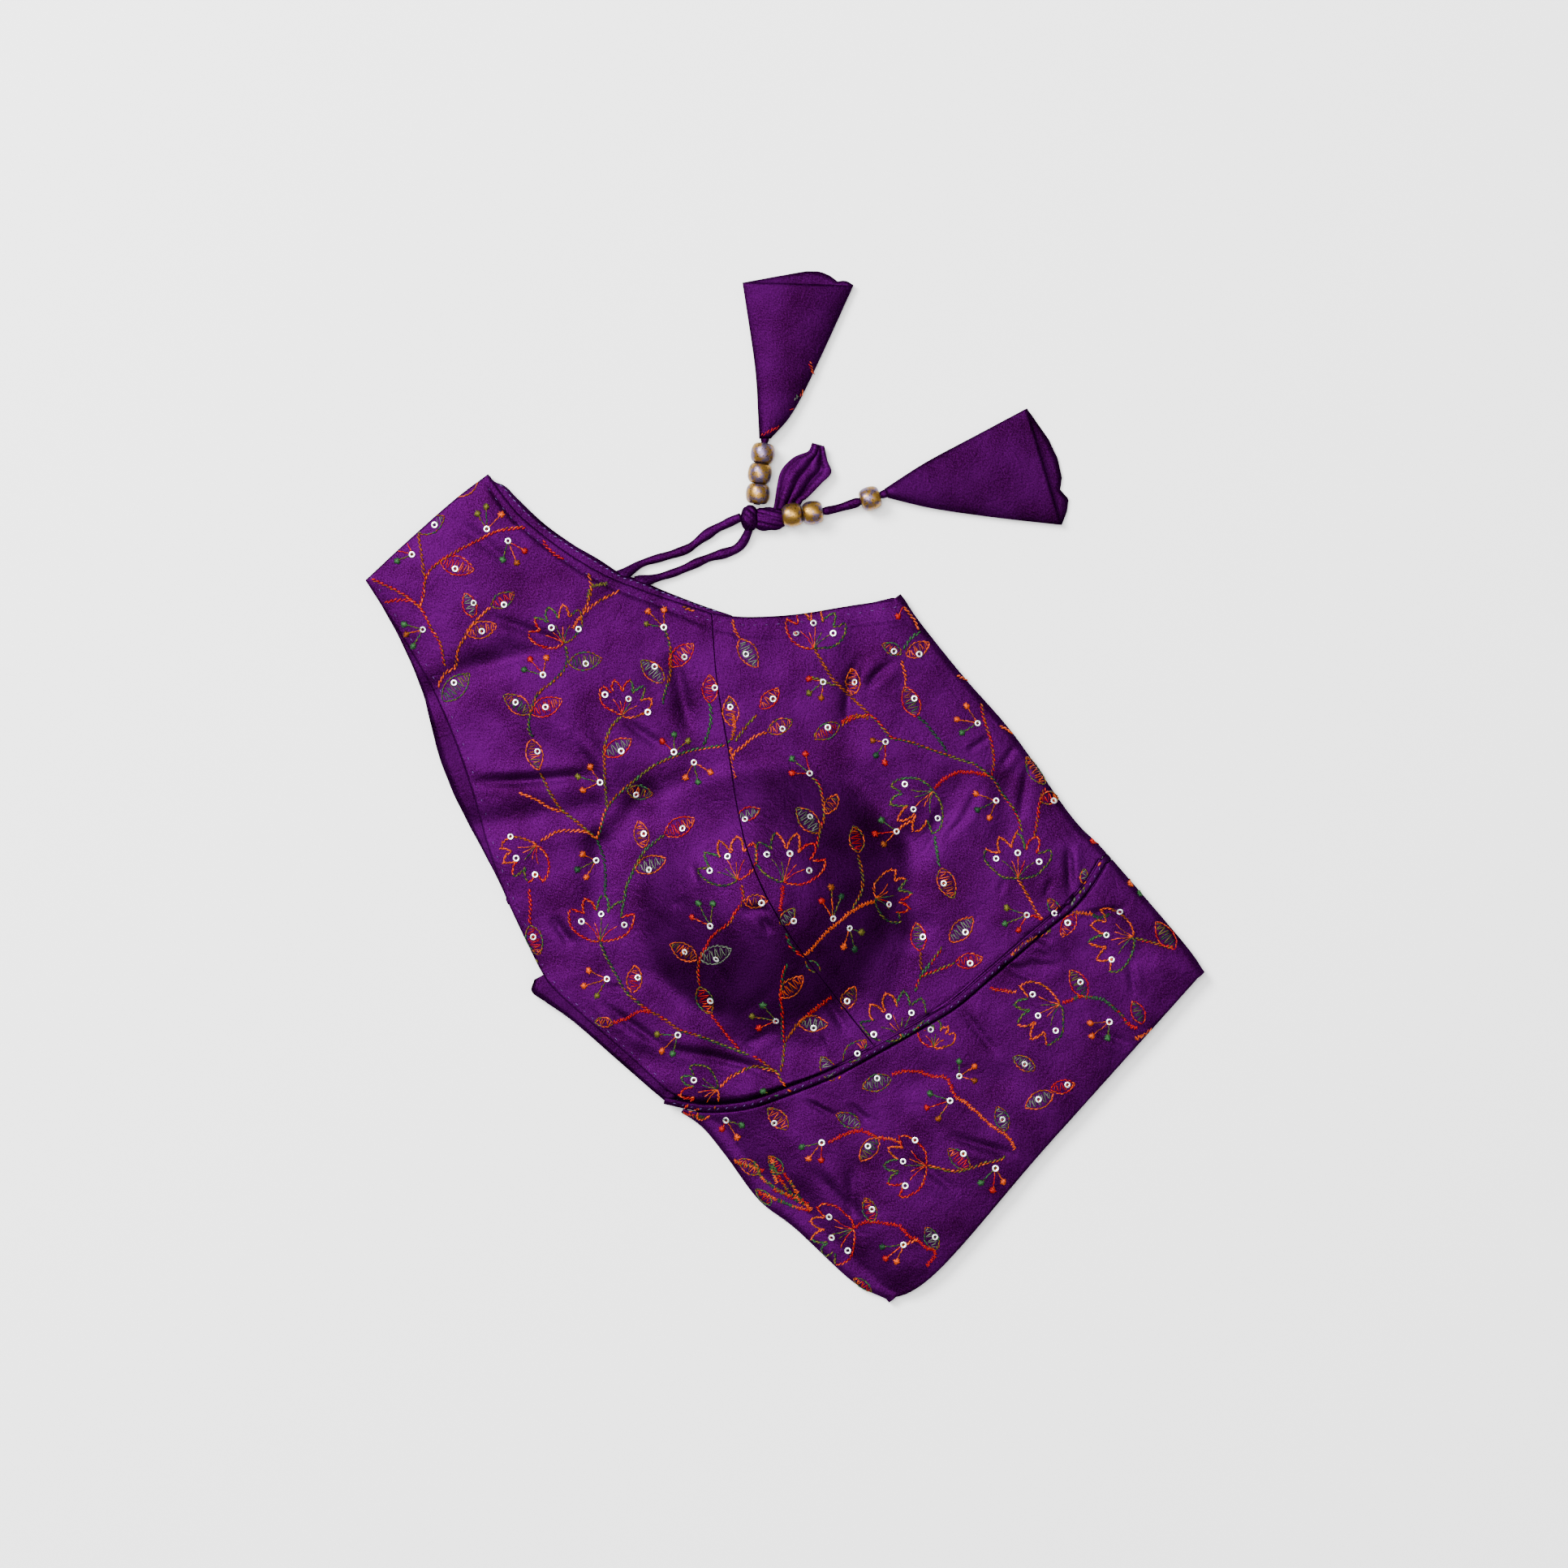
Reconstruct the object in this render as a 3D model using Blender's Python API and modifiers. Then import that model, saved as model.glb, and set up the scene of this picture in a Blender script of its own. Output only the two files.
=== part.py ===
# A sleeveless choli blouse, folded in half along its centre front and laid flat.
#
# The near half of the front lies on top, cut in three panels: a side panel with
# the shoulder strap, a centre panel that rolls round the fold, and a waist band.
# The layers below share one rounded solid. Two tie cords come out at the back
# neck, are knotted, and end in beads and flattened cloth cones.
#
# Pattern measures are in millimetres: "out" is the distance from the centre
# front fold towards the side seam, "down" the distance below the shoulder.
# World axes: +Y runs up the fold to the neck, +X from the side to the fold,
# +Z up. The origin is under the middle of the folded blouse, on the surface.

import math

import bpy
import bmesh
import numpy as np
from mathutils import Vector

MM = 0.001

# Cloth and layers
PANEL_WALL = 1.8 * MM        # satin with its lining and interlining
STRIP_WALL = 1.2 * MM        # one turned edge of the layers below
PIPING_WALL = 1.2 * MM
SEAM_GAP = 0.3 * MM
EDGE_HEIGHT = 7.8 * MM       # the stacked layers at a finished edge
PILLOW_RISE = 3.0 * MM       # how much the middle lies above the edges
PILLOW_REACH = 14.0 * MM
ROLL = 4.0 * MM              # how far a rolled edge bends in from the outline
PIPING_WIDTH = 3.2 * MM
PIPING_RISE = 0.7 * MM
CORE_CLEARANCE = 0.25 * MM   # extra room under the panels
BEND_STEPS = (3.0, 5.0)      # millimetres over which the cloth's bend is measured, about half a facet
CELL_PROBES = [(0.5, 0.5), (0.5, 0.0), (0.0, 0.5), (0.25, 0.25), (0.25, 0.75), (0.75, 0.25), (0.75, 0.75)]
HALF_GAP = SEAM_GAP / MM / 2
SEAM_ROOM = PIPING_WIDTH / MM / 2 + SEAM_GAP / MM + 0.15   # with room for the seam's facets
STRIP_GAP = 0.45             # millimetres between a panel's edge and the strip beside it

# The padded cup
CUP_CENTRE = (131.0, 223.0)
CUP_RADIUS = 57.0 * MM
CUP_RISE = 24.0 * MM
CUP_POWER = 1.15

# Cords, beads and cones
CORD_RADIUS = 1.9 * MM
STRING_SHARE = 0.62          # the cord squeezed inside a bead, as a share of its radius
BEAD_RADIUS = 5.3 * MM
BEAD_LENGTH = 8.2 * MM
BEAD_BORE = 1.75 * MM
BEAD_FULLNESS = 0.55         # below 1 the barrel's ends are blunter
BEAD_STEPS = 8
BEAD_SIDES = 18
CONE_WALL = 1.3 * MM
CONE_EDGE = 2.1 * MM         # the doubled cloth at a flattened cone's folded edges
CONE_HALF_HEIGHT = 3.1 * MM
CONE_ROUNDNESS = 0.9         # how round the narrow end is
TAIL_WALL = 1.3 * MM

# How many faces the grids have
STRAP_ROWS = 12
BODY_ROWS = 17
BAND_ROWS = 9
SIDE_COLUMNS = 15
CENTRE_COLUMNS = 13
STRIP_ROWS = 14
CORE_COLUMNS = 18
FINE_STEPS = 2000            # a curve cut finely enough to measure from
CORE_ROWS = (10, 6, 9, 9)    # down to the low neck, the fold's top, the band seam and the hem
ROLL_ANGLES = (25, 50, 75, 100, 130, 160)
STRIP_ANGLES = (0, 9, 30, 55, 80, 105, 130, 160)

# Outline of the folded blouse: columns are out, down
SHOULDER = [(182.4, 2.8), (157.8, 0.9), (129.0, -0.5), (110.4, 0.0)]
ARMHOLE = [
    (182.4, 2.8), (183.9, 17.0), (186.3, 39.7), (190.1, 61.9), (196.1, 84.2), (204.4, 107.0),
    (213.5, 128.0), (220.8, 149.0), (225.5, 167.0), (229.4, 184.3),
]
BACK_ARMHOLE = [
    (190.6, 49.0), (194.8, 60.5), (200.1, 71.6), (205.1, 82.3), (208.6, 91.8), (211.7, 101.6),
    (214.0, 111.0), (216.6, 124.0),
]
SIDE_SEAM = [(229.4, 184.3), (230.5, 195.0), (228.0, 213.0), (223.5, 238.0), (219.5, 263.0)]
BACK_SIDE = [
    (230.1, 184.5), (234.8, 188.0), (239.0, 191.5), (237.2, 198.6), (232.8, 213.8), (228.3, 238.8),
    (224.9, 257.5),
]
BAND_SIDE = [
    (222.5, 270.0), (217.7, 285.0), (217.3, 302.0), (218.1, 327.0), (213.4, 346.9), (208.3, 380.9),
    (201.4, 396.6),
]
HEM = [
    (201.4, 396.6), (191.8, 400.6), (178.4, 401.2), (157.7, 398.4), (111.3, 389.4), (66.1, 381.8),
    (0.0, 370.8),
]
NECK_SLANT = [
    (110.4, 0.0), (111.0, 15.6), (110.2, 26.3), (104.9, 48.3), (97.4, 68.0), (87.0, 86.0), (71.4, 110.1),
]
FAR_NECK = [
    (107.7, 9.0), (107.0, 16.0), (104.7, 32.3), (100.4, 47.7), (95.7, 59.8), (90.1, 72.1), (82.0, 88.0),
]
NECK_FRONT = [(71.4, 110.1), (61.0, 120.7), (42.9, 133.8), (20.7, 146.5), (0.6, 158.3)]
FOLD = [
    (0.6, 158.3), (1.7, 172.0), (1.6, 203.3), (0.3, 236.1), (3.0, 280.0), (1.0, 303.3), (-0.8, 355.0),
    (0.0, 370.8),
]
PRINCESS = [
    (71.4, 110.1), (88.6, 135.6), (103.7, 162.6), (117.2, 186.4), (126.8, 208.7), (132.7, 236.3),
    (134.8, 274.7), (135.1, 307.0),
]
BAND_SEAM = [
    (223.0, 266.0), (211.5, 279.5), (197.2, 289.3), (181.4, 295.5), (157.3, 302.8), (135.1, 307.0),
    (112.9, 310.6), (95.7, 312.8), (77.4, 312.3), (41.2, 311.0), (29.3, 311.1), (15.8, 308.6), (1.0, 303.3),
]
SEAM_JUNCTION = 5            # the row of BAND_SEAM that the princess seam meets
ARMHOLE_MATCH = 118.0        # how far down the armhole lies opposite the top of the princess seam
SHARPEST_CORNER = 1.6        # limits how far a sharp corner of the hidden layers moves in
TO_FOLD = np.array([-1.0, 0.0])
TO_SIDE = np.array([1.0, 0.0])

# The piping's section: columns are the place across, from -1 to 1, and the share of its rise
PIPING_SECTION = [(-1.0, 0.0), (-0.5, 0.8), (0.0, 1.0), (0.5, 0.8), (1.0, 0.0)]

# Edge of the hidden layers, from its top: columns are how far in from the outline (mm) and the
# share of its height, first where the layers end in stacked edges, then where the edge is rolled
CORE_PROFILE = [
    (1.8, 1.00, 5.0, 1.00), (1.5, 0.90, 3.9, 0.93), (1.5, 0.62, 3.3, 0.73), (2.6, 0.58, 3.7, 0.53),
    (1.5, 0.54, 4.9, 0.46), (1.5, 0.30, 5.5, 0.40), (2.6, 0.27, 5.6, 0.30), (1.5, 0.24, 5.6, 0.20),
    (1.5, 0.05, 5.6, 0.05), (2.2, 0.00, 5.8, 0.00),
]
# Where the sides are cut into the core's rows, and where they are rolled, as distances down
CORE_LEFT_CUTS = (2.8, 100.0, 184.3, 266.0, 396.6)
CORE_RIGHT_CUTS = (0.0, 110.1, 158.3, 303.3, 370.8)
LEFT_ROLLS = [(37.0, 136.0), (176.0, 400.0)]
RIGHT_ROLLS = [(-1.0, 100.0), (150.0, 400.0)]

# Largest folds: both ends as out, down, then half width and rise (minus is a trough)
FOLDS = [
    ((218.0, 114.0), (166.0, 145.0), 6.5, -1.8),
    ((205.0, 58.0), (140.0, 70.0), 8.0, -2.1),
    ((107.0, 120.0), (112.0, 152.0), 8.0, -1.3),
    ((160.0, 92.0), (148.0, 135.0), 6.5, 1.3),
    ((194.0, 180.0), (175.0, 160.0), 6.5, -1.9),
    ((175.0, 160.0), (146.0, 156.0), 6.5, -2.1),
    ((146.0, 156.0), (118.0, 164.0), 6.5, -1.4),
    ((68.0, 205.0), (66.0, 243.0), 7.0, -1.6),
    ((66.0, 243.0), (88.0, 275.0), 7.0, -1.9),
    ((88.0, 275.0), (118.0, 296.0), 6.5, -1.4),
    ((34.0, 166.0), (54.0, 186.0), 6.5, -1.4),
    ((14.0, 251.0), (31.0, 268.0), 6.5, -1.2),
    ((31.0, 238.0), (51.0, 246.0), 6.5, -1.0),
    ((44.0, 236.0), (68.0, 251.0), 6.5, -1.0),
    ((193.0, 217.0), (182.0, 248.0), 6.5, -1.3),
    ((186.0, 262.0), (158.0, 288.0), 6.5, -1.3),
    ((218.0, 246.0), (196.0, 272.0), 6.5, -1.1),
    ((217.0, 300.0), (205.0, 392.0), 16.0, -1.2),
    ((175.0, 343.0), (190.0, 362.0), 6.5, -1.3),
    ((126.0, 330.0), (100.0, 352.0), 6.5, -1.0),
    ((40.0, 326.0), (22.0, 346.0), 6.5, -1.0),
]

# Tie cords: columns are out, down and height
CORD_LONG = [
    (88.35, 72.6, 3.4), (84.0, 73.0, 2.6), (80.3, 73.9, 2.1), (75.6, 75.8, 2.0), (70.9, 77.8, 2.0),
    (65.8, 79.8, 2.0), (60.8, 81.2, 2.0), (54.1, 81.3, 2.0), (47.4, 81.8, 2.1), (42.5, 82.9, 2.4),
    (38.6, 83.8, 3.2), (34.6, 84.9, 4.3),
]
CORD_SHORT = [
    (83.2, 81.55, 3.4), (79.0, 83.3, 2.6), (73.4, 85.5, 2.1), (67.7, 87.2, 2.0), (62.0, 88.6, 2.0),
    (56.4, 90.3, 2.0), (50.9, 92.6, 2.0), (45.8, 94.4, 2.0), (42.0, 94.4, 2.1), (38.6, 93.2, 2.8),
    (35.3, 91.5, 3.9),
]
KNOT_CENTRE = (30.5, 88.4, 4.6)
KNOT_SIZE = (9.2, 11.0, 9.0)
FLAT_LOOP_CENTRE = (24.5, 94.1, 3.6)
FLAT_LOOP_SIZE = (7.0, 10.2, 6.6)
KNOT_TURN = -38.7            # the knot lies square to the picture, not to the fold
UPPER_STRING = [
    (25.8, 85.05, 5.2), (22.3, 81.6, 5.4), (16.0, 75.1, 5.4), (9.4, 69.0, 5.4), (5.0, 64.85, 4.8),
]
UPPER_BEADS = [(22.3, 81.6, 5.4), (16.0, 75.1, 5.4), (9.4, 69.0, 5.4)]
RIGHT_STRING = [
    (20.8, 95.8, 5.0), (16.3, 98.5, 5.4), (8.6, 103.4, 5.4), (4.6, 105.8, 5.1), (-0.6, 108.4, 3.8),
    (-6.4, 110.8, 3.8), (-10.8, 112.5, 5.1), (-15.3, 114.4, 5.4), (-21.9, 116.85, 4.8),
]
RIGHT_BEADS = [(16.3, 98.5, 5.4), (8.6, 103.4, 5.4), (-15.3, 114.4, 5.4)]

# Cloth cones: columns are the one edge and the other as out, down, then the middle's height
UPPER_CONE = [
    ((6.6, 62.8), (2.4, 66.0), 4.6),
    ((0.3, 54.1), (-11.0, 63.5), 3.6),
    ((-12.1, 36.3), (-29.3, 55.6), 3.2),
    ((-31.0, 3.9), (-68.6, 35.9), 3.2),
]
RIGHT_CONE = [
    ((-23.0, 114.9), (-21.6, 119.1), 4.6),
    ((-44.3, 117.1), (-34.2, 135.1), 3.4),
    ((-68.4, 121.5), (-53.0, 155.2), 3.2),
    ((-94.9, 126.5), (-74.3, 176.6), 3.2),
]
CONE_STATIONS = 9
CONE_SIDES = 20
CONE_HOLLOW_FROM = 2         # the station where the cone's hollow begins
MOUTH_BULGE = 5.0 * MM       # how far the lower layer shows past the mouth

# The flared end of the cord: columns are left edge and right edge as out, down, then height
TAIL = [
    ((20.6, 90.3), (15.0, 92.2), 4.2),
    ((17.9, 88.6), (9.9, 94.3), 5.4),
    ((13.8, 84.7), (5.5, 96.4), 5.0),
    ((7.9, 80.2), (-2.6, 95.5), 4.4),
    ((0.0, 79.1), (-8.8, 94.5), 3.8),
    ((-6.6, 81.2), (-10.6, 89.5), 3.6),
    ((-11.0, 79.4), (-13.4, 83.0), 3.4),
]
TAIL_FOLD = 1.3 * MM
TAIL_ROWS = 10
TAIL_COLUMNS = 6

# Colours from the photograph, as linear values, with roughness and metallic
SATIN = ((0.075, 0.012, 0.130, 1.0), 0.45, 0.0)
SATIN_DARK = ((0.045, 0.008, 0.085, 1.0), 0.55, 0.0)
CORD_CLOTH = ((0.060, 0.010, 0.110, 1.0), 0.5, 0.0)
GILT = ((0.45, 0.30, 0.10, 1.0), 0.35, 0.9)


def smooth_curve(points, count, dense=24):
    """A curve through the points, resampled to count even steps (count + 1 points)."""
    p = np.asarray(points, dtype=float)
    before = 2 * p[0] - p[1]
    after = 2 * p[-1] - p[-2]
    p = np.vstack([before, p, after])
    pieces = []
    t = np.linspace(0.0, 1.0, dense, endpoint=False)[:, None]
    for i in range(1, len(p) - 2):
        a, b, c, d = p[i - 1], p[i], p[i + 1], p[i + 2]
        curve = 2 * b + (c - a) * t + (2 * a - 5 * b + 4 * c - d) * t ** 2
        pieces.append(0.5 * (curve + (3 * b - a - 3 * c + d) * t ** 3))
    line = np.vstack(pieces + [p[-2:-1]])
    return resample(line, count)


def resample(line, count):
    """The polyline cut into count even steps."""
    step = np.linalg.norm(np.diff(line, axis=0), axis=1)
    along = np.concatenate([[0.0], np.cumsum(step)])
    wanted = np.linspace(0.0, along[-1], count + 1)
    return np.column_stack([np.interp(wanted, along, line[:, k]) for k in range(line.shape[1])])


def joined(*lines):
    """Lines set end to end, each shared end kept once."""
    return np.vstack([lines[0]] + [line[1:] for line in lines[1:]])


def side_normals(line):
    """Unit normals of an open line in the plane, to the left of its direction."""
    ahead = np.gradient(line, axis=0)
    ahead /= np.linalg.norm(ahead, axis=1)[:, None]
    return np.column_stack([-ahead[:, 1], ahead[:, 0]])


def coons(top, bottom, left, right):
    """A grid of plan points between four edges. Rows run down, columns across."""
    u = np.linspace(0.0, 1.0, len(top))[None, :, None]
    v = np.linspace(0.0, 1.0, len(left))[:, None, None]
    across = (1 - u) * left[:, None, :] + u * right[:, None, :]
    down = (1 - v) * top[None, :, :] + v * bottom[None, :, :]
    corners = (1 - v) * ((1 - u) * top[0] + u * top[-1]) + v * ((1 - u) * bottom[0] + u * bottom[-1])
    return across + down - corners


def blouse_outline():
    """The outline of everything but the cords, as one closed line of plan points."""
    armhole = smooth_curve(ARMHOLE, 60)
    above = armhole[armhole[:, 1] < BACK_ARMHOLE[0][1] - 3]
    below = armhole[armhole[:, 1] > BACK_ARMHOLE[-1][1] + 3]
    neck = smooth_curve(NECK_SLANT, 40)
    low_neck = neck[neck[:, 1] > FAR_NECK[-1][1] + 3]
    left = np.vstack([
        above, smooth_curve(BACK_ARMHOLE, 24), below, smooth_curve(BACK_SIDE, 24)[1:],
        smooth_curve(BAND_SIDE, 30),
    ])
    right = np.vstack([
        [SHOULDER[-1]], smooth_curve(FAR_NECK, 24), low_neck, smooth_curve(NECK_FRONT, 20)[1:],
        smooth_curve(FOLD, 40)[1:],
    ])
    return left, right


LEFT_OUTLINE, RIGHT_OUTLINE = blouse_outline()
OUTLINE = np.vstack([
    smooth_curve(SHOULDER, 12)[::-1], LEFT_OUTLINE[1:], smooth_curve(HEM, 40)[1:], RIGHT_OUTLINE[::-1][1:],
])
CENTRE = (OUTLINE.min(axis=0) + OUTLINE.max(axis=0)) / 2


def edge_distance(plan):
    """Distance in millimetres from each plan point to the outline."""
    a = OUTLINE
    b = np.roll(OUTLINE, -1, axis=0)
    ab = b - a
    size = np.maximum((ab ** 2).sum(axis=1), 1e-9)
    flat = plan.reshape(-1, 1, 2)
    t = np.clip(((flat - a) * ab).sum(axis=2) / size, 0.0, 1.0)
    near = a + t[..., None] * ab
    return np.linalg.norm(flat - near, axis=2).min(axis=1).reshape(plan.shape[:-1])


def fold_rise(plan):
    """Sum of the folds: a soft bell across each, fading towards its ends."""
    total = np.zeros(plan.shape[:-1])
    for start, end, width, rise in FOLDS:
        a = np.array(start)
        ab = np.array(end) - a
        t = ((plan - a) @ ab) / (ab @ ab)
        across = plan - (a + np.clip(t, 0.0, 1.0)[..., None] * ab)
        total += rise * MM * np.exp(-(across ** 2).sum(axis=-1) / width ** 2)
    return total


def surface_height(plan):
    """Height of the cloth's top above the surface it lies on."""
    pillow = PILLOW_RISE * (1 - np.exp(-edge_distance(plan) * MM / PILLOW_REACH))
    from_cup = np.linalg.norm(plan - np.array(CUP_CENTRE), axis=-1) * MM / CUP_RADIUS
    cup = CUP_RISE * np.clip(1 - from_cup ** 2, 0.0, 1.0) ** CUP_POWER
    return EDGE_HEIGHT + pillow + cup + fold_rise(plan)


def surface_slope(plan, step=1.0):
    """Length of the unit-height normal: 1 on level cloth, more on a slope."""
    dx = surface_height(plan + [step, 0]) - surface_height(plan - [step, 0])
    dy = surface_height(plan + [0, step]) - surface_height(plan - [0, step])
    return np.sqrt(1 + (dx ** 2 + dy ** 2) / (2 * step * MM) ** 2)


def bend_room(plan):
    """How far the flat facets of a panel can leave the curved surface near each point."""
    middle = surface_height(plan)
    room = np.zeros(middle.shape)
    for angle in (0.0, 45.0, 90.0, 135.0):
        turn = math.radians(angle)
        for size in BEND_STEPS:
            step = size * np.array([math.cos(turn), math.sin(turn)])
            chord = (surface_height(plan + step) + surface_height(plan - step)) / 2
            room = np.maximum(room, np.abs(chord - middle))
    return room


def under_panels(plan):
    """Height of the hidden layers' top: low enough for the panels above and all facets."""
    height = surface_height(plan) - (PANEL_WALL + SEAM_GAP) * surface_slope(plan)
    height -= CORE_CLEARANCE + bend_room(plan)
    return height


def world(plan, height):
    """Plan points in millimetres and heights in metres, as points in the part's frame."""
    flat = (CENTRE - plan) * MM
    return np.concatenate([flat, np.asarray(height)[..., None]], axis=-1)


def laid(plan, lift=0.0):
    """Plan points set on the cloth surface."""
    return world(plan, surface_height(plan) + lift)


def rolled(plan, grid, direction):
    """Adds columns that bend round a rolled edge and under, after the last column."""
    edge = grid[:, -1, :]
    tangent = plan[:, -1, :]
    half = edge[:, 2] / 2
    columns = [grid]
    for angle in ROLL_ANGLES:
        turn = math.radians(angle)
        moved = tangent + direction * (ROLL / MM) * math.sin(turn)
        columns.append(world(moved, half * (1 + math.cos(turn)))[:, None, :])
    return np.concatenate(columns, axis=1)


def material(name, look):
    """A plain surface with the look's colour, roughness and metallic value."""
    colour, roughness, metallic = look
    made = bpy.data.materials.new(name)
    made.use_nodes = True
    shader = made.node_tree.nodes["Principled BSDF"]
    shader.inputs["Base Color"].default_value = colour
    shader.inputs["Roughness"].default_value = roughness
    shader.inputs["Metallic"].default_value = metallic
    made.diffuse_color = colour
    return made


def add_object(name, data, look):
    """Links new data as a part of the blouse, under its empty."""
    made = bpy.data.objects.new(name, data)
    parts.objects.link(made)
    made.parent = stand
    made.data.materials.append(material(name + "_finish", look))
    return made


def mesh_from(name, vertices, faces):
    """A smooth-shaded mesh of the vertices and faces, its normals turned outwards."""
    mesh = bpy.data.meshes.new(name)
    mesh.from_pydata([tuple(v) for v in vertices], [], faces)
    mesh.shade_smooth()
    return mesh


def grid_faces(rows, columns, flip=False):
    """Quads of a grid of points that is stored row by row."""
    faces = []
    for r in range(rows - 1):
        for c in range(columns - 1):
            a = r * columns + c
            quad = (a, a + columns, a + columns + 1, a + 1)
            faces.append(quad[::-1] if flip else quad)
    return faces


def add_shell(name, grid, wall, look, flip=False):
    """A cloth wall: an open surface with thickness added under it."""
    rows, columns = grid.shape[:2]
    mesh = mesh_from(name, grid.reshape(-1, 3), grid_faces(rows, columns, flip))
    shell = add_object(name, mesh, look)
    thickness = shell.modifiers.new("wall", "SOLIDIFY")
    thickness.thickness = wall
    thickness.offset = -1.0
    return shell


def fold_tangent(down):
    """Where the cloth starts to bend round the fold, for each distance down."""
    fold = smooth_curve(FOLD, 60)
    return np.column_stack([np.interp(down, fold[:, 1], fold[:, 0]) + ROLL / MM, down])


def moved_seam(line, distance):
    """The line moved sideways in its plane, in millimetres."""
    return line + side_normals(line) * distance


def cut_seam():
    """The band seam from the side to the fold's roll, and the step where the princess seam meets it."""
    seam = smooth_curve(BAND_SEAM, 400)
    seam = seam[seam[:, 0] >= fold_tangent(seam[:, 1])[:, 0]]
    junction = np.linalg.norm(seam - np.array(BAND_SEAM[SEAM_JUNCTION]), axis=1).argmin()
    return seam, junction


def add_side_panel(seam):
    """Strap, armhole and the side of the bust, from the shoulder down to the band."""
    seam = seam[seam[:, 0] <= SIDE_SEAM[-1][0]]
    bottom = moved_seam(resample(seam, SIDE_COLUMNS), SEAM_ROOM)
    edge = joined(smooth_curve(ARMHOLE, 60), smooth_curve(SIDE_SEAM, 30))
    match = np.abs(edge[:, 1] - ARMHOLE_MATCH).argmin()
    left = joined(resample(edge[:match + 1], STRAP_ROWS), resample(edge[match:], BODY_ROWS))
    princess = moved_seam(smooth_curve(PRINCESS, BODY_ROWS), -HALF_GAP)
    right = joined(smooth_curve(NECK_SLANT, STRAP_ROWS), princess)
    left[-1] = bottom[0]
    right[-1] = bottom[-1] + [HALF_GAP, 0.0]
    bottom[-1] = right[-1]
    plan = coons(smooth_curve(SHOULDER, SIDE_COLUMNS), bottom, left, right)
    add_shell("front_side_panel", laid(plan), PANEL_WALL, SATIN)


def add_centre_panel(seam):
    """From the neck to the band, between the princess seam and the fold, and round it."""
    neck = smooth_curve(NECK_FRONT, 200)
    neck = neck[neck[:, 0] >= fold_tangent(neck[:, 1])[:, 0]]
    top = resample(neck, CENTRE_COLUMNS)
    bottom = moved_seam(resample(seam, CENTRE_COLUMNS), SEAM_ROOM)
    left = moved_seam(smooth_curve(PRINCESS, BODY_ROWS), HALF_GAP)
    right = fold_tangent(np.linspace(top[-1, 1], bottom[-1, 1], BODY_ROWS + 1))
    top[0] = left[0] = top[0] + [-2 * HALF_GAP, HALF_GAP]
    left[-1] = bottom[0] - [HALF_GAP, 0.0]
    bottom[0] = left[-1]
    plan = coons(top, bottom, left, right)
    add_shell("front_centre_panel", rolled(plan, laid(plan), TO_FOLD), PANEL_WALL, SATIN)


def add_waist_band(seam):
    """The band under the bust, rolled under at its side and at the fold."""
    side = smooth_curve(BAND_SIDE, BAND_ROWS)
    hem = smooth_curve(HEM, 200)
    left = side - [ROLL / MM, 0.0]
    below = moved_seam(seam, -SEAM_ROOM)
    below = below[below[:, 0] <= left[0, 0]]
    hem = hem[hem[:, 0] >= fold_tangent(hem[:, 1])[:, 0]]
    hem = hem[hem[:, 0] <= left[-1, 0]]
    top = resample(below, SIDE_COLUMNS + CENTRE_COLUMNS)
    bottom = resample(hem, SIDE_COLUMNS + CENTRE_COLUMNS)
    left = resample(np.vstack([top[:1], left[2:-1], bottom[:1]]), BAND_ROWS)
    right = fold_tangent(np.linspace(top[-1, 1], bottom[-1, 1], BAND_ROWS + 1))
    plan = coons(top, bottom, left, right)
    grid = rolled(plan, laid(plan), TO_FOLD)
    both = rolled(plan[:, ::-1], laid(plan)[:, ::-1], TO_SIDE)
    under = both[:, plan.shape[1]:][:, ::-1]
    add_shell("waist_band", np.concatenate([under, grid], axis=1), PANEL_WALL, SATIN)


def add_piping(seam):
    """The narrow turned strip between the panels and the band, with its end at the side."""
    count = SIDE_COLUMNS + CENTRE_COLUMNS + 6
    middle = resample(seam, count)
    rows = []
    heights = []
    for share, rise in PIPING_SECTION:
        line = moved_seam(middle, -share * PIPING_WIDTH / MM / 2)
        rows.append(line)
        heights.append(surface_height(line) + rise * PIPING_RISE)
    plan = np.array(rows)
    grid = rolled(plan, world(plan, np.array(heights)), TO_FOLD)
    add_shell("band_piping", grid, PIPING_WALL, SATIN_DARK)


def add_strip(name, inner, outer, look, flip):
    """A turned edge of a layer below, from beside a panel's edge round to the floor."""
    towards = outer - inner
    width = np.linalg.norm(towards, axis=1)[:, None]
    towards = towards / width
    start = inner + towards * STRIP_GAP
    width = width - STRIP_GAP
    top = surface_height(start) - (PANEL_WALL - STRIP_WALL)
    columns = []
    for angle in STRIP_ANGLES:
        turn = math.radians(angle)
        reach = width * math.sin(turn)
        if angle > 90:
            reach = width - np.minimum(width, ROLL / MM) * (1 - math.sin(turn))
        columns.append(world(start + towards * reach, top / 2 * (1 + math.cos(turn))))
    add_shell(name, np.stack(columns, axis=1), STRIP_WALL, look, flip)


def nearest_on(edge, points):
    """For each point, the nearest place on the smooth curve through an edge's points."""
    line = smooth_curve(edge, FINE_STEPS)
    gaps = np.linalg.norm(points[:, None, :] - line[None, :, :], axis=2)
    return line[gaps.argmin(axis=1)]


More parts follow.
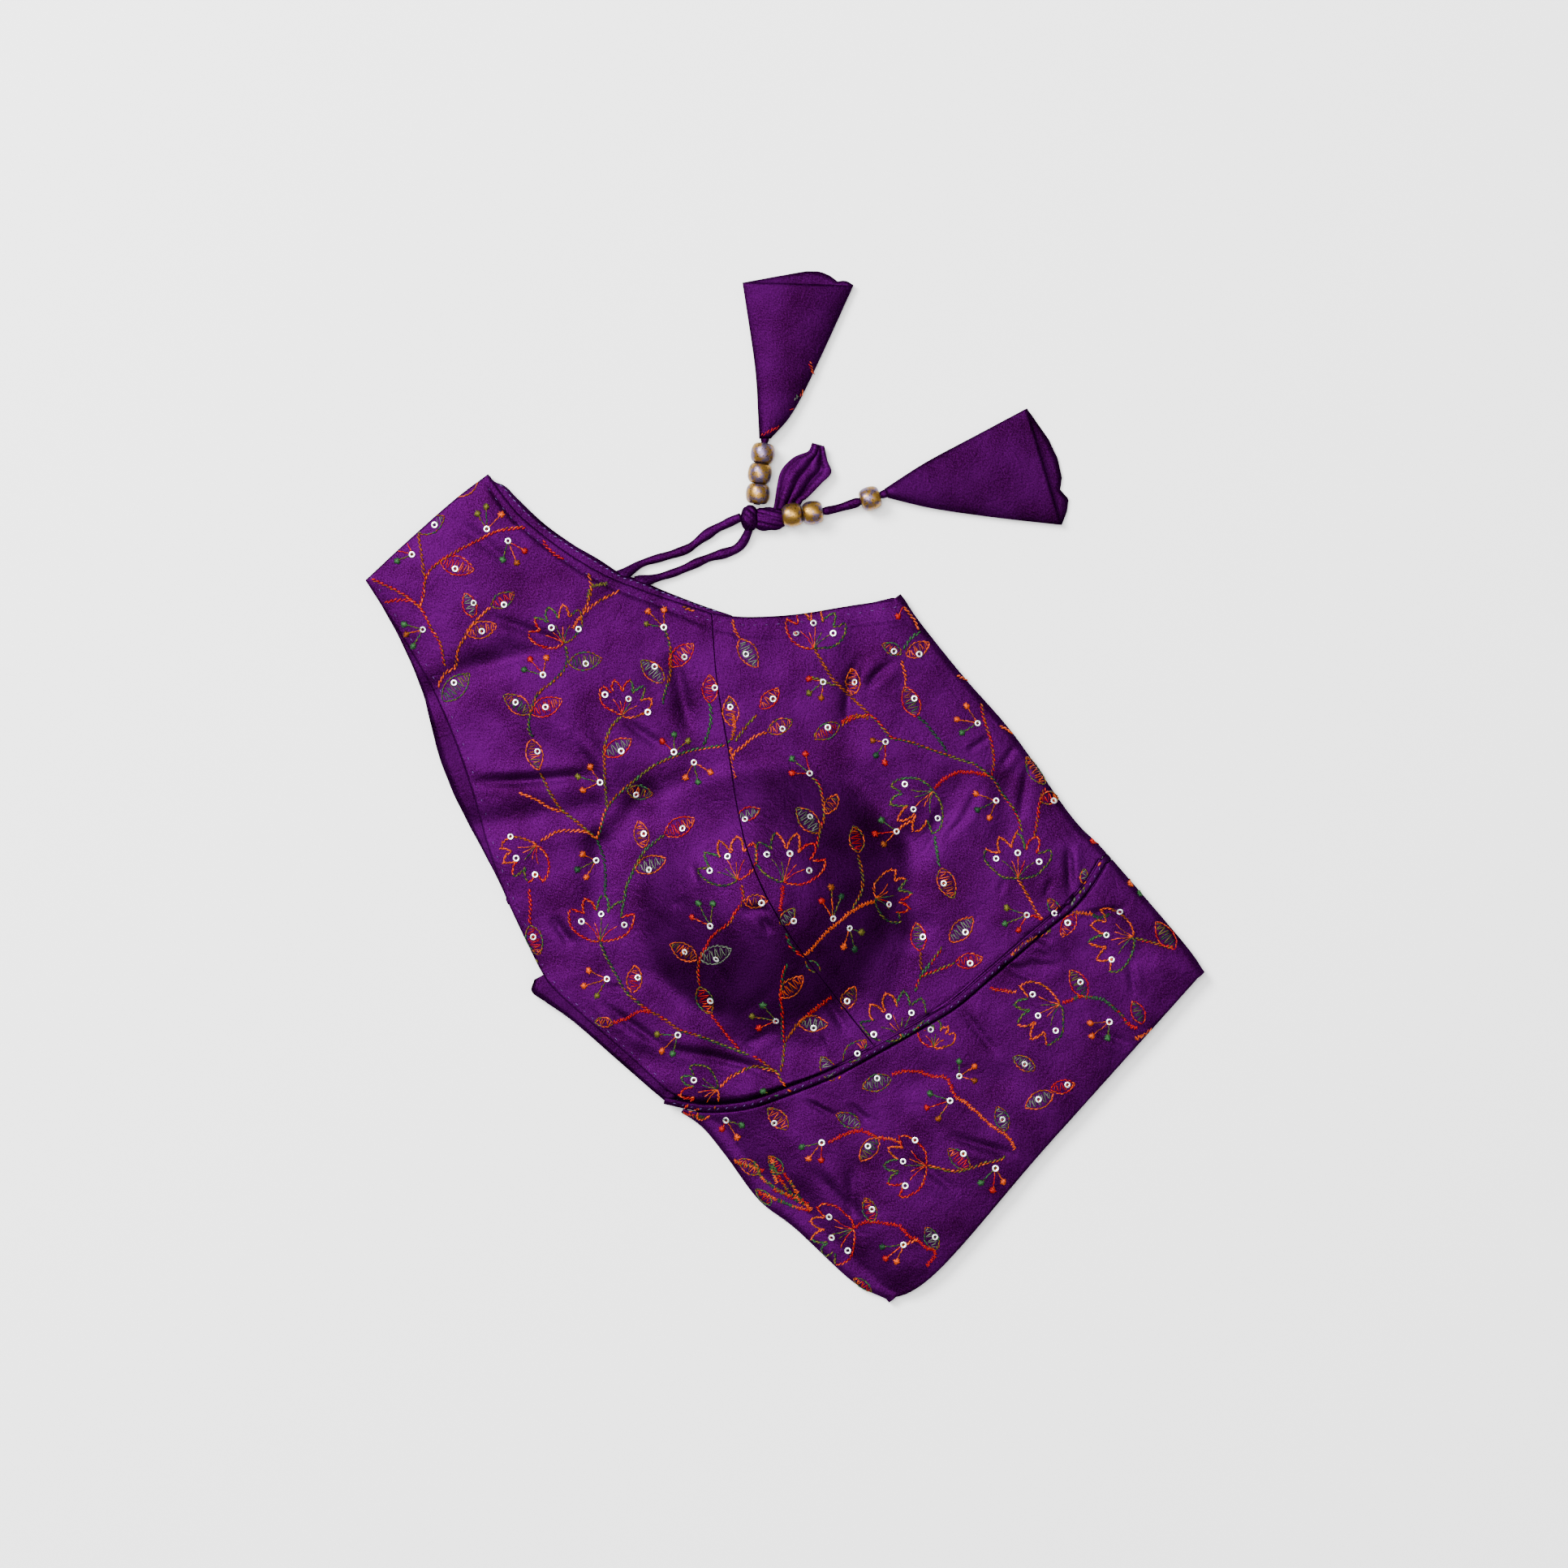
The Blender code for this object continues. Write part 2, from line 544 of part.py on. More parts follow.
def add_layer_strips():
    """The layers below that show past the front: back armhole, back side and far neck facing."""
    armhole = smooth_curve(BACK_ARMHOLE, STRIP_ROWS)
    add_strip("back_armhole_edge", nearest_on(ARMHOLE, armhole), armhole, SATIN_DARK, True)
    side = smooth_curve(BACK_SIDE[1:], STRIP_ROWS)
    add_strip("back_side_panel", nearest_on(SIDE_SEAM, side), side, SATIN, True)
    neck = smooth_curve(FAR_NECK, STRIP_ROWS)
    add_strip("far_neck_facing", nearest_on(NECK_SLANT, neck), neck, SATIN_DARK, False)


def cut_at(line, downs, counts):
    """An outline side cut into runs between distances down, each into its number of rows."""
    cuts = [np.abs(line[:, 1] - down).argmin() for down in downs]
    cuts[0], cuts[-1] = 0, len(line) - 1
    runs = [resample(line[a:b + 1], n) for a, b, n in zip(cuts[:-1], cuts[1:], counts)]
    return joined(*runs)


def core_rim():
    """The outline as four sides of matching rows, and how far each point is rolled."""
    left = cut_at(LEFT_OUTLINE, CORE_LEFT_CUTS, CORE_ROWS)
    right = cut_at(RIGHT_OUTLINE, CORE_RIGHT_CUTS, CORE_ROWS)
    top = smooth_curve(SHOULDER, CORE_COLUMNS)
    bottom = smooth_curve(HEM, CORE_COLUMNS)
    top[0], top[-1], bottom[0], bottom[-1] = left[0], right[0], left[-1], right[-1]
    roll_left = np.zeros(len(left))
    for start, end in LEFT_ROLLS:
        roll_left[(left[:, 1] > start) & (left[:, 1] < end)] = 1.0
    roll_right = np.zeros(len(right))
    for start, end in RIGHT_ROLLS:
        roll_right[(right[:, 1] > start) & (right[:, 1] < end)] = 1.0
    rim = joined(top[::-1], left, bottom, right[::-1])[:-1]
    flat_top = np.zeros(len(top) - 1)
    flat_hem = np.zeros(len(bottom) - 2)
    roll = np.concatenate([flat_top, roll_left, flat_hem, roll_right[:0:-1]])
    return rim, roll, len(top), len(left)


def inward(rim):
    """Vectors that move each corner of the closed rim in by one millimetre from both its edges."""
    ahead = np.roll(rim, -1, axis=0) - rim
    ahead /= np.linalg.norm(ahead, axis=1)[:, None]
    behind = np.roll(ahead, 1, axis=0)
    both = ahead + behind
    normals = np.column_stack([-both[:, 1], both[:, 0]])
    size = (normals ** 2).sum(axis=1)[:, None]
    return normals * 2 / np.maximum(size, SHARPEST_CORNER)


def sunk(plan, height):
    """The grid's heights, lowered until its flat cells lie under the panels everywhere."""
    corners = [(slice(None, -1), slice(None, -1)), (slice(None, -1), slice(1, None)),
               (slice(1, None), slice(None, -1)), (slice(1, None), slice(1, None))]
    for v, u in CELL_PROBES:
        weights = ((1 - v) * (1 - u), (1 - v) * u, v * (1 - u), v * u)
        spot = sum(w * plan[c] for w, c in zip(weights, corners))
        level = sum(w * height[c] for w, c in zip(weights, corners))
        excess = np.maximum(level - under_panels(spot), 0.0)
        for corner in corners:
            lowered = height.copy()
            lowered[corner] = height[corner] - excess
            height = np.minimum(height, lowered)
    return height


def add_core():
    """The layers under the panels, as one rounded solid with grooves round its edge."""
    rim, roll, across, rows = core_rim()
    into = inward(rim)
    profile = np.array(CORE_PROFILE)
    inset = profile[:, None, 0] * (1 - roll) + profile[:, None, 2] * roll
    share = profile[:, None, 1] * (1 - roll) + profile[:, None, 3] * roll
    edge = rim + into * inset[0][:, None]
    closed = np.vstack([edge, edge[:1]])
    top = closed[:across][::-1]
    left = closed[across - 1:across + rows - 1]
    bottom = closed[across + rows - 2:2 * across + rows - 2]
    right = closed[2 * across + rows - 3:][::-1]
    plan = coons(top, bottom, left, right)
    grid = world(plan, sunk(plan, under_panels(plan)))
    index = np.arange(rows * across).reshape(rows, across)
    ring = np.concatenate([
        index[0, ::-1], index[1:, 0], index[-1, 1:], index[:-1, -1][::-1],
    ])[:-1]
    vertices = [grid.reshape(-1, 3)]
    faces = grid_faces(rows, across)
    ring_height = grid.reshape(-1, 3)[ring, 2]
    count = rows * across
    for level in range(1, len(profile)):
        spot = rim + into * inset[level][:, None]
        vertices.append(world(spot, ring_height * share[level]))
        lower = np.arange(count, count + len(ring))
        after = np.roll(lower, -1)
        above = np.roll(ring, -1)
        faces += [tuple(int(i) for i in quad) for quad in zip(ring, lower, after, above)]
        ring = lower
        count += len(lower)
    faces.append(tuple(int(i) for i in ring))
    mesh = mesh_from("hidden_layers", np.vstack(vertices), faces)
    face_outwards(mesh)
    add_object("hidden_layers", mesh, SATIN_DARK)


def face_outwards(mesh):
    """Turns the faces of a closed mesh outwards."""
    shape = bmesh.new()
    shape.from_mesh(mesh)
    bmesh.ops.recalc_face_normals(shape, faces=shape.faces)
    shape.to_mesh(mesh)
    shape.free()


def placed(point):
    """A point given as out, down and height in millimetres, in the part's frame."""
    out, down, height = point
    return np.array([(CENTRE[0] - out) * MM, (CENTRE[1] - down) * MM, height * MM])


def cord_route(points, spacing):
    """A smooth route through the points, cut evenly at about the spacing."""
    placed_points = np.array([placed(p) for p in points])
    length = np.linalg.norm(np.diff(placed_points, axis=0), axis=1).sum()
    return smooth_curve(placed_points, max(3, round(length / spacing)))


def add_cord(name, points, beads=()):
    """A round cord along the points, squeezed where it passes through a bead."""
    route = cord_route(points, 2.2 * CORD_RADIUS)
    curve = bpy.data.curves.new(name, "CURVE")
    curve.dimensions = "3D"
    curve.bevel_depth = CORD_RADIUS
    curve.bevel_resolution = 2
    curve.use_fill_caps = True
    line = curve.splines.new("POLY")
    line.points.add(len(route) - 1)
    squeeze = BEAD_LENGTH / 2 + 2.2 * CORD_RADIUS
    for spot, point in zip(line.points, route):
        spot.co = (*point, 1.0)
        inside = any(np.linalg.norm(point - placed(bead)) < squeeze for bead in beads)
        spot.radius = STRING_SHARE if inside else 1.0
    add_object(name, curve, CORD_CLOTH)


def add_bead(name, centre, route):
    """A gilt bead turned about the cord that runs through its bore."""
    profile = []
    for step in range(BEAD_STEPS + 1):
        angle = math.pi * (1 - step / BEAD_STEPS)
        radius = BEAD_BORE + (BEAD_RADIUS - BEAD_BORE) * math.sin(angle) ** BEAD_FULLNESS
        profile.append((radius, 0.0, -BEAD_LENGTH / 2 * math.cos(angle)))
    mesh = bpy.data.meshes.new(name)
    loop = [(i, (i + 1) % len(profile)) for i in range(len(profile))]
    mesh.from_pydata(profile, loop, [])
    bead = add_object(name, mesh, GILT)
    turn = bead.modifiers.new("turned", "SCREW")
    turn.steps = BEAD_SIDES
    turn.render_steps = BEAD_SIDES
    turn.use_merge_vertices = True
    turn.merge_threshold = 0.00001
    spot = placed(centre)
    line = cord_route(route, 1.0 * MM)
    nearest = np.linalg.norm(line - spot, axis=1).argmin()
    ahead = line[min(nearest + 2, len(line) - 1)] - line[max(nearest - 2, 0)]
    bead.location = spot
    bead.rotation_euler = Vector(ahead).to_track_quat("Z", "Y").to_euler()


def add_lump(name, centre, size, turn):
    """A rounded lump of gathered cord: a squashed ball."""
    mesh = bpy.data.meshes.new(name)
    shape = bmesh.new()
    bmesh.ops.create_uvsphere(shape, u_segments=16, v_segments=9, radius=0.5)
    bmesh.ops.scale(shape, vec=Vector(size) * MM, verts=shape.verts)
    shape.to_mesh(mesh)
    shape.free()
    mesh.shade_smooth()
    lump = add_object(name, mesh, CORD_CLOTH)
    lump.location = placed(centre)
    lump.rotation_euler = (0.0, 0.0, math.radians(turn))


def heights_along(table, count):
    """A table's last column, read at even steps."""
    return np.interp(np.linspace(0, 1, count + 1), np.linspace(0, 1, len(table)), [row[2] for row in table])


def cone_sections(table):
    """Rings of a flattened cone between its two edges, from the tip to the mouth."""
    one = smooth_curve([row[0] for row in table], CONE_STATIONS)
    other = smooth_curve([row[1] for row in table], CONE_STATIONS)
    middles = heights_along(table, CONE_STATIONS)
    turns = np.linspace(0.0, 2 * math.pi, CONE_SIDES, endpoint=False)
    outer = []
    inner = []
    for a, b, middle in zip(one, other, middles):
        centre = np.append((CENTRE - (a + b) / 2) * MM, middle * MM)
        half = np.append((a - b) / 2 * -MM, 0.0)
        width = np.linalg.norm(half)
        tall = min(CONE_HALF_HEIGHT, width * CONE_ROUNDNESS)
        slim = half * (width - CONE_EDGE) / width
        up = np.array([0.0, 0.0, 1.0])
        outer.append([centre + half * math.cos(t) + up * tall * math.sin(t) for t in turns])
        inner.append([centre + slim * math.cos(t) + up * (tall - CONE_WALL) * math.sin(t) for t in turns])
    axis = outer[-1][0] + outer[-1][CONE_SIDES // 2] - outer[0][0] - outer[0][CONE_SIDES // 2]
    axis = axis / np.linalg.norm(axis) * [1, 1, 0]
    for ring in (outer[-1], inner[-1]):
        for i, t in enumerate(turns):
            ring[i] = ring[i] + axis * MOUTH_BULGE * max(0.0, -math.sin(t))
    return outer, inner[CONE_HOLLOW_FROM:]


def add_cone(name, table):
    """A flattened cloth cone, hollow and open at its mouth."""
    outer, inner = cone_sections(table)
    rings = outer + inner[::-1]
    vertices = np.array(rings).reshape(-1, 3)
    n = CONE_SIDES
    faces = [tuple(range(n))[::-1]]
    for r in range(len(rings) - 1):
        for i in range(n):
            j = (i + 1) % n
            faces.append((r * n + i, r * n + j, (r + 1) * n + j, (r + 1) * n + i))
    last = (len(rings) - 1) * n
    faces.append(tuple(range(last, last + n)))
    mesh = mesh_from(name, vertices, faces)
    face_outwards(mesh)
    add_object(name, mesh, SATIN)


def add_tail():
    """The flared end of the cord past the knot: a small folded leaf of cloth."""
    left = smooth_curve([row[0] for row in TAIL], TAIL_ROWS)
    right = smooth_curve([row[1] for row in TAIL], TAIL_ROWS)
    across = np.linspace(0.0, 1.0, TAIL_COLUMNS + 1)
    plan = left[:, None, :] * (1 - across[None, :, None]) + right[:, None, :] * across[None, :, None]
    fold = TAIL_FOLD * np.sin(across * 2 * math.pi)
    grid = world(plan, heights_along(TAIL, TAIL_ROWS)[:, None] * MM + fold[None, :])
    add_shell("cord_tail", grid, TAIL_WALL, CORD_CLOTH)


for old in list(bpy.data.objects):
    bpy.data.objects.remove(old)

parts = bpy.data.collections.new("choli_blouse")
bpy.context.scene.collection.children.link(parts)
stand = bpy.data.objects.new("blouse", None)
parts.objects.link(stand)

band_seam, princess_end = cut_seam()
add_core()
add_side_panel(band_seam[:princess_end + 1])
add_centre_panel(band_seam[princess_end:])
add_waist_band(band_seam)
add_piping(band_seam)
add_layer_strips()

add_cord("neck_cord_long", CORD_LONG)
add_cord("neck_cord_short", CORD_SHORT)
add_lump("cord_knot", KNOT_CENTRE, KNOT_SIZE, KNOT_TURN)
add_lump("cord_flat_loop", FLAT_LOOP_CENTRE, FLAT_LOOP_SIZE, KNOT_TURN)
add_tail()
add_cord("upper_string", UPPER_STRING, UPPER_BEADS)
add_cord("right_string", RIGHT_STRING, RIGHT_BEADS)
for number, centre in enumerate(UPPER_BEADS, start=1):
    add_bead("upper_bead_%d" % number, centre, UPPER_STRING)
for number, centre in enumerate(RIGHT_BEADS, start=1):
    add_bead("right_bead_%d" % number, centre, RIGHT_STRING)
add_cone("upper_cone", UPPER_CONE)
add_cone("right_cone", RIGHT_CONE)
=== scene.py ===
import math

import bmesh
import bpy
import numpy as np
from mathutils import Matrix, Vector

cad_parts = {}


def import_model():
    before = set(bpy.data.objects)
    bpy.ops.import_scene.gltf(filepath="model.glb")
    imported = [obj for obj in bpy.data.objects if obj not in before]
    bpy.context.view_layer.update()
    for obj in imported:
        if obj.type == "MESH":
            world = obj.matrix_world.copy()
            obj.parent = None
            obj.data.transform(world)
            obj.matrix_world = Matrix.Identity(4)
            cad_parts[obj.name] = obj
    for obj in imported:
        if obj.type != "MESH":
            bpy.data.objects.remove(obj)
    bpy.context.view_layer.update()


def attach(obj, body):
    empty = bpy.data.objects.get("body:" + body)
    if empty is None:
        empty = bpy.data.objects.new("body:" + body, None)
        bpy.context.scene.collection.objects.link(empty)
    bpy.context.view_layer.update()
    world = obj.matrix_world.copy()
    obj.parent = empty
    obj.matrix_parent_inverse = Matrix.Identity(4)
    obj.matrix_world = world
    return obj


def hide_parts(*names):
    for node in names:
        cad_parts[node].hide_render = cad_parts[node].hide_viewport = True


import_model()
mm = 0.001

# the blouse's pattern, repeated from the part's source

pattern = {
    "shoulder": [(182.4, 2.8), (157.8, 0.9), (129.0, -0.5), (110.4, 0.0)],
    "armhole": [(182.4, 2.8), (183.9, 17.0), (186.3, 39.7), (190.1, 61.9), (196.1, 84.2), (204.4, 107.0),
                (213.5, 128.0), (220.8, 149.0), (225.5, 167.0), (229.4, 184.3)],
    "backArmhole": [(190.6, 49.0), (194.8, 60.5), (200.1, 71.6), (205.1, 82.3), (208.6, 91.8),
                    (211.7, 101.6), (214.0, 111.0), (216.6, 124.0)],
    "sideSeam": [(229.4, 184.3), (230.5, 195.0), (228.0, 213.0), (223.5, 238.0), (219.5, 263.0)],
    "backSide": [(230.1, 184.5), (234.8, 188.0), (239.0, 191.5), (237.2, 198.6), (232.8, 213.8),
                 (228.3, 238.8), (224.9, 257.5)],
    "bandSide": [(222.5, 270.0), (217.7, 285.0), (217.3, 302.0), (218.1, 327.0), (213.4, 346.9),
                 (208.3, 380.9), (201.4, 396.6)],
    "hem": [(201.4, 396.6), (191.8, 400.6), (178.4, 401.2), (157.7, 398.4), (111.3, 389.4),
            (66.1, 381.8), (0.0, 370.8)],
    "neckSlant": [(110.4, 0.0), (111.0, 15.6), (110.2, 26.3), (104.9, 48.3), (97.4, 68.0), (87.0, 86.0),
                  (71.4, 110.1)],
    "farNeck": [(107.7, 9.0), (107.0, 16.0), (104.7, 32.3), (100.4, 47.7), (95.7, 59.8), (90.1, 72.1),
                (82.0, 88.0)],
    "neckFront": [(71.4, 110.1), (61.0, 120.7), (42.9, 133.8), (20.7, 146.5), (0.6, 158.3)],
    "fold": [(0.6, 158.3), (1.7, 172.0), (1.6, 203.3), (0.3, 236.1), (3.0, 280.0), (1.0, 303.3),
             (-0.8, 355.0), (0.0, 370.8)],
    "princess": [(71.4, 110.1), (88.6, 135.6), (103.7, 162.6), (117.2, 186.4), (126.8, 208.7),
                 (132.7, 236.3), (134.8, 274.7), (135.1, 307.0)],
    "bandSeam": [(223.0, 266.0), (211.5, 279.5), (197.2, 289.3), (181.4, 295.5), (157.3, 302.8),
                 (135.1, 307.0), (112.9, 310.6), (95.7, 312.8), (77.4, 312.3), (41.2, 311.0),
                 (29.3, 311.1), (15.8, 308.6), (1.0, 303.3)],
    "edgeHeight": 7.8,      # the stacked layers at a finished edge
    "lowest": 4.6,          # the cloth's top stays this far above the floor
    "pillowRise": 3.0,
    "pillowReach": 14.0,
    "roll": 4.0,            # how far a rolled edge bends in from the outline
    "wall": 1.6,
    "stripWall": 1.0,
    "lip": 1.1,             # radius of a turned edge
    "seamLip": 0.28,
    "pipingWidth": 3.2,
    "cupCentre": (131.0, 223.0),
    "cupRadius": 57.0,
    "cupRise": 24.0,
    "cupPower": 1.15,
    "cupFoot": 0.03,
}


def smoothCurve(points, count):
    # a Catmull-Rom curve through the points, cut into count even steps
    p = np.asarray(points, dtype=float)
    p = np.vstack([2 * p[0] - p[1], p, 2 * p[-1] - p[-2]])
    t = np.linspace(0.0, 1.0, 24, endpoint=False)[None, :, None]
    a, b, c, d = (p[k:len(p) - 3 + k, None] for k in range(4))
    line = 2 * b + (c - a) * t + (2 * a - 5 * b + 4 * c - d) * t ** 2 + (3 * b - a - 3 * c + d) * t ** 3
    line = np.vstack([0.5 * line.reshape(-1, p.shape[1]), p[-2:-1]])
    return cutEvenly(line, count)


def cutEvenly(line, count):
    # the line read at count + 1 places, even steps of its length apart
    return readAlong(line, np.linspace(0.0, 1.0, count + 1))


def readAlong(line, shares):
    # the line read at shares of its length
    step = np.linalg.norm(np.diff(line, axis=0), axis=1)
    along = np.concatenate([[0.0], np.cumsum(step)])
    return np.column_stack([np.interp(np.asarray(shares) * along[-1], along, line[:, k])
                            for k in range(line.shape[1])])


def readRows(line, shares):
    # the line read at shares of its number of points
    at = np.asarray(shares) * (len(line) - 1)
    return np.column_stack([np.interp(at, np.arange(len(line)), line[:, k]) for k in range(line.shape[1])])


def joined(*lines):
    return np.vstack([lines[0]] + [line[1:] for line in lines[1:]])


def leftNormals(line):
    # unit normals of a line in the plan, a quarter turn from its direction
    ahead = np.gradient(line, axis=0)
    ahead /= np.linalg.norm(ahead, axis=1)[:, None] + 1e-9
    return np.column_stack([-ahead[:, 1], ahead[:, 0]])


curve = {name: smoothCurve(pattern[name], count) for name, count in (
    ("shoulder", 240), ("armhole", 600), ("backArmhole", 240), ("sideSeam", 240), ("backSide", 240),
    ("bandSide", 240), ("hem", 400), ("neckSlant", 300), ("farNeck", 240), ("neckFront", 300),
    ("fold", 400), ("princess", 500), ("bandSeam", 600))}


def blouseOutline():
    # the edge of everything but the ties, down each side, then as one closed line
    armhole, neck = curve["armhole"], curve["neckSlant"]
    left = np.vstack([
        armhole[armhole[:, 1] < pattern["backArmhole"][0][1] - 3][::8],
        curve["backArmhole"][::10],
        armhole[armhole[:, 1] > pattern["backArmhole"][-1][1] + 3][::8],
        curve["backSide"][10::10], curve["bandSide"][::8],
    ])
    right = np.vstack([
        curve["shoulder"][-1:], curve["farNeck"][::10],
        neck[neck[:, 1] > pattern["farNeck"][-1][1] + 3][::8],
        curve["neckFront"][15::15], curve["fold"][10::10],
    ])
    return left, right


leftOutline, rightOutline = blouseOutline()
outline = np.vstack([curve["shoulder"][::20][::-1], leftOutline[1:], curve["hem"][10::10],
                     rightOutline[::-1][1:]])
planCentre = (outline.min(axis=0) + outline.max(axis=0)) / 2


def lineDistance(plan, line, closed=False):
    # each plan point's distance to the nearest piece of a line, with its sign and place along it
    a = line if closed else line[:-1]
    b = np.roll(line, -1, axis=0) if closed else line[1:]
    ab = b - a
    size = np.maximum((ab ** 2).sum(axis=1), 1e-9)
    x = plan[..., 0].reshape(-1, 1)
    y = plan[..., 1].reshape(-1, 1)
    t = np.clip(((x - a[:, 0]) * ab[:, 0] + (y - a[:, 1]) * ab[:, 1]) / size, 0.0, 1.0)
    dx = x - a[:, 0] - t * ab[:, 0]
    dy = y - a[:, 1] - t * ab[:, 1]
    gap = dx ** 2 + dy ** 2
    best = gap.argmin(axis=1)
    pick = np.arange(len(best))
    side = np.sign(ab[best, 0] * dy[pick, best] - ab[best, 1] * dx[pick, best])
    shape = plan.shape[:-1]
    along = (best + t[pick, best]) / len(a)
    return np.sqrt(gap[pick, best]).reshape(shape), side.reshape(shape), along.reshape(shape)


def softNoise(plan, size, seed):
    # random heights on a grid of that size in millimetres, joined by smooth steps, from -1 to 1
    cells = 96
    values = np.random.default_rng(seed).uniform(-1, 1, (cells + 1, cells + 1))
    at = plan / np.asarray(size)
    cell = np.floor(at).astype(int)
    f = at - cell
    f = f * f * (3 - 2 * f)
    i, j = cell[..., 0] % cells, cell[..., 1] % cells
    top = values[i, j] * (1 - f[..., 0]) + values[i + 1, j] * f[..., 0]
    low = values[i, j + 1] * (1 - f[..., 0]) + values[i + 1, j + 1] * f[..., 0]
    return top * (1 - f[..., 1]) + low * f[..., 1]


# height of the cloth: main folds as in the part's source, then the finer creases

folds = [  # out and down of both ends, half width, rise
    (218, 114, 166, 145, 6.5, -1.8), (205, 58, 140, 70, 8, -2.1), (107, 120, 112, 152, 8, -1.3),
    (160, 92, 148, 135, 6.5, 1.3), (194, 180, 175, 160, 6.5, -1.9), (175, 160, 146, 156, 6.5, -2.1),
    (146, 156, 118, 164, 6.5, -1.4), (68, 205, 66, 243, 7, -1.6), (66, 243, 88, 275, 7, -1.9),
    (88, 275, 118, 296, 6.5, -1.4), (34, 166, 54, 186, 6.5, -1.4), (14, 251, 31, 268, 6.5, -1.2),
    (31, 238, 51, 246, 6.5, -1), (44, 236, 68, 251, 6.5, -1), (193, 217, 182, 248, 6.5, -1.3),
    (186, 262, 158, 288, 6.5, -1.3), (218, 246, 196, 272, 6.5, -1.1), (217, 292, 205, 394, 16, -5.2),
    (175, 343, 190, 362, 6.5, -1.3), (126, 330, 100, 352, 6.5, -1), (40, 326, 22, 346, 6.5, -1),
]
creases = [  # out and down of two or three points, half width, depth, side of the raised lip
    (202, 102, 179, 119, 156, 134, 2.8, 1.5, 1), (183, 55, 157, 69, 130, 82, 5, 0.9, 1),
    (95, 112, 103, 128, 112, 145, 4, 1.1, -1), (31, 166, 44, 174, 55, 185, 2.4, 1.1, 1),
    (3, 250, 12, 258, 23, 268, 2.2, 0.9, -1), (26, 245, 46, 253, 2, 0.8, 1),
    (38, 243, 52, 247, 67, 254, 2.2, 0.9, -1), (209, 247, 188, 272, 177, 290, 2.8, 1.2, 1),
    (218, 214, 208, 248, 2.4, 0.8, -1), (177, 341, 190, 359, 2.6, 1, 1),
    (135, 356, 116, 383, 2.4, 0.9, -1), (28, 317, 9, 328, 2, 0.8, 1), (53, 308, 44, 318, 2, 0.8, -1),
    (69, 312, 61, 322, 2, 0.7, 1), (160, 318, 158, 331, 2, 0.7, 1), (26, 176, 39, 179, 2, 0.6, -1),
    (13, 290, 23, 305, 2, 0.7, 1), (132, 123, 125, 145, 2.4, 0.8, 1), (136, 261, 141, 294, 3, 1, -1),
    (143, 221, 133, 229, 2.4, 1.2, 1), (12, 289, 26, 308, 1.6, 0.8, 1),
    (27, 296, 35, 301, 1.3, 0.6, -1), (44, 283, 50, 288, 1.3, 0.6, 1), (54, 316, 50, 323, 1.3, 0.5, 1),
    (68, 317, 60, 327, 1.5, 0.6, -1), (62, 317, 49, 329, 2.6, 0.6, 1), (24, 347, 31, 360, 1.6, 0.6, 1),
    (174, 305, 168, 319, 1.3, 0.9, 1), (183, 269, 164, 272, 2.4, 0.7, -1),
    (150, 287, 155, 294, 1.3, 0.6, 1), (211, 171, 212, 187, 2.8, 0.9, 1),
    (211, 211, 206, 215, 1.4, 0.6, -1), (166, 201, 158, 202, 1.5, 0.7, 1),
    (138, 228, 139, 237, 2.4, 0.9, -1), (147, 192, 151, 200, 1.4, 0.5, 1),
    (172, 258, 152, 257, 2.8, 0.8, 1), (37, 178, 21, 177, 2.4, 0.7, -1), (22, 229, 8, 230, 1.6, 0.6, 1),
    (15, 244, 2, 240, 1.6, 0.6, -1), (63, 248, 39, 239, 2, 0.7, 1), (42, 251, 54, 253, 1.5, 0.5, -1),
    (3, 188, 3, 197, 1.4, 0.5, 1), (135, 6, 126, 41, 3.5, 0.6, 1), (150, 49, 132, 78, 3, 0.7, -1),
    (154, 111, 159, 153, 3, 0.6, 1), (95, 315, 95, 343, 2, 0.6, 1), (58, 354, 45, 378, 2, 0.6, -1),
    (191, 330, 188, 361, 3, 0.8, 1), (153, 352, 147, 379, 2.2, 0.6, -1),
    (166, 230, 170, 250, 1.8, 0.6, 1),
]


creaseForm = {"narrow": 0.8, "deepen": 1.35, "lipShare": 0.35, "lipAt": 1.8, "lipSpread": 1.3, "fade": 3.2}


def creaseRise(plan):
    # across each crease a narrow trough with a low lip beside it, both fading towards its ends
    total = np.zeros(plan.shape[:-1])
    for *points, width, depth, lean in creases:
        line = smoothCurve(np.reshape(points, (-1, 2)), 6)
        gap, side, along = lineDistance(plan, line)
        s = gap * side / width
        fade = np.clip(np.minimum(along, 1 - along) * creaseForm["fade"], 0, 1) ** 0.7
        trough = np.exp(-(s / creaseForm["narrow"]) ** 2)
        lip = np.exp(-(s - creaseForm["lipAt"] * lean) ** 2 / creaseForm["lipSpread"])
        total += creaseForm["deepen"] * depth * fade * (creaseForm["lipShare"] * lip - trough)
    return total


facing = {"points": [0, 40, 60, 100], "width": [3.0, 4.0, 8.2, 8.6], "groove": 0.55, "grooveWidth": 0.8,
          "rim": 0.35, "rimAt": 2.6, "rimWidth": 2.0, "fade": 20}
neckSeam = joined(curve["neckSlant"], curve["neckFront"])[::6]
neckSeam = neckSeam - leftNormals(neckSeam) * np.interp(np.arange(len(neckSeam)), facing["points"],
                                                        facing["width"])[:, None]


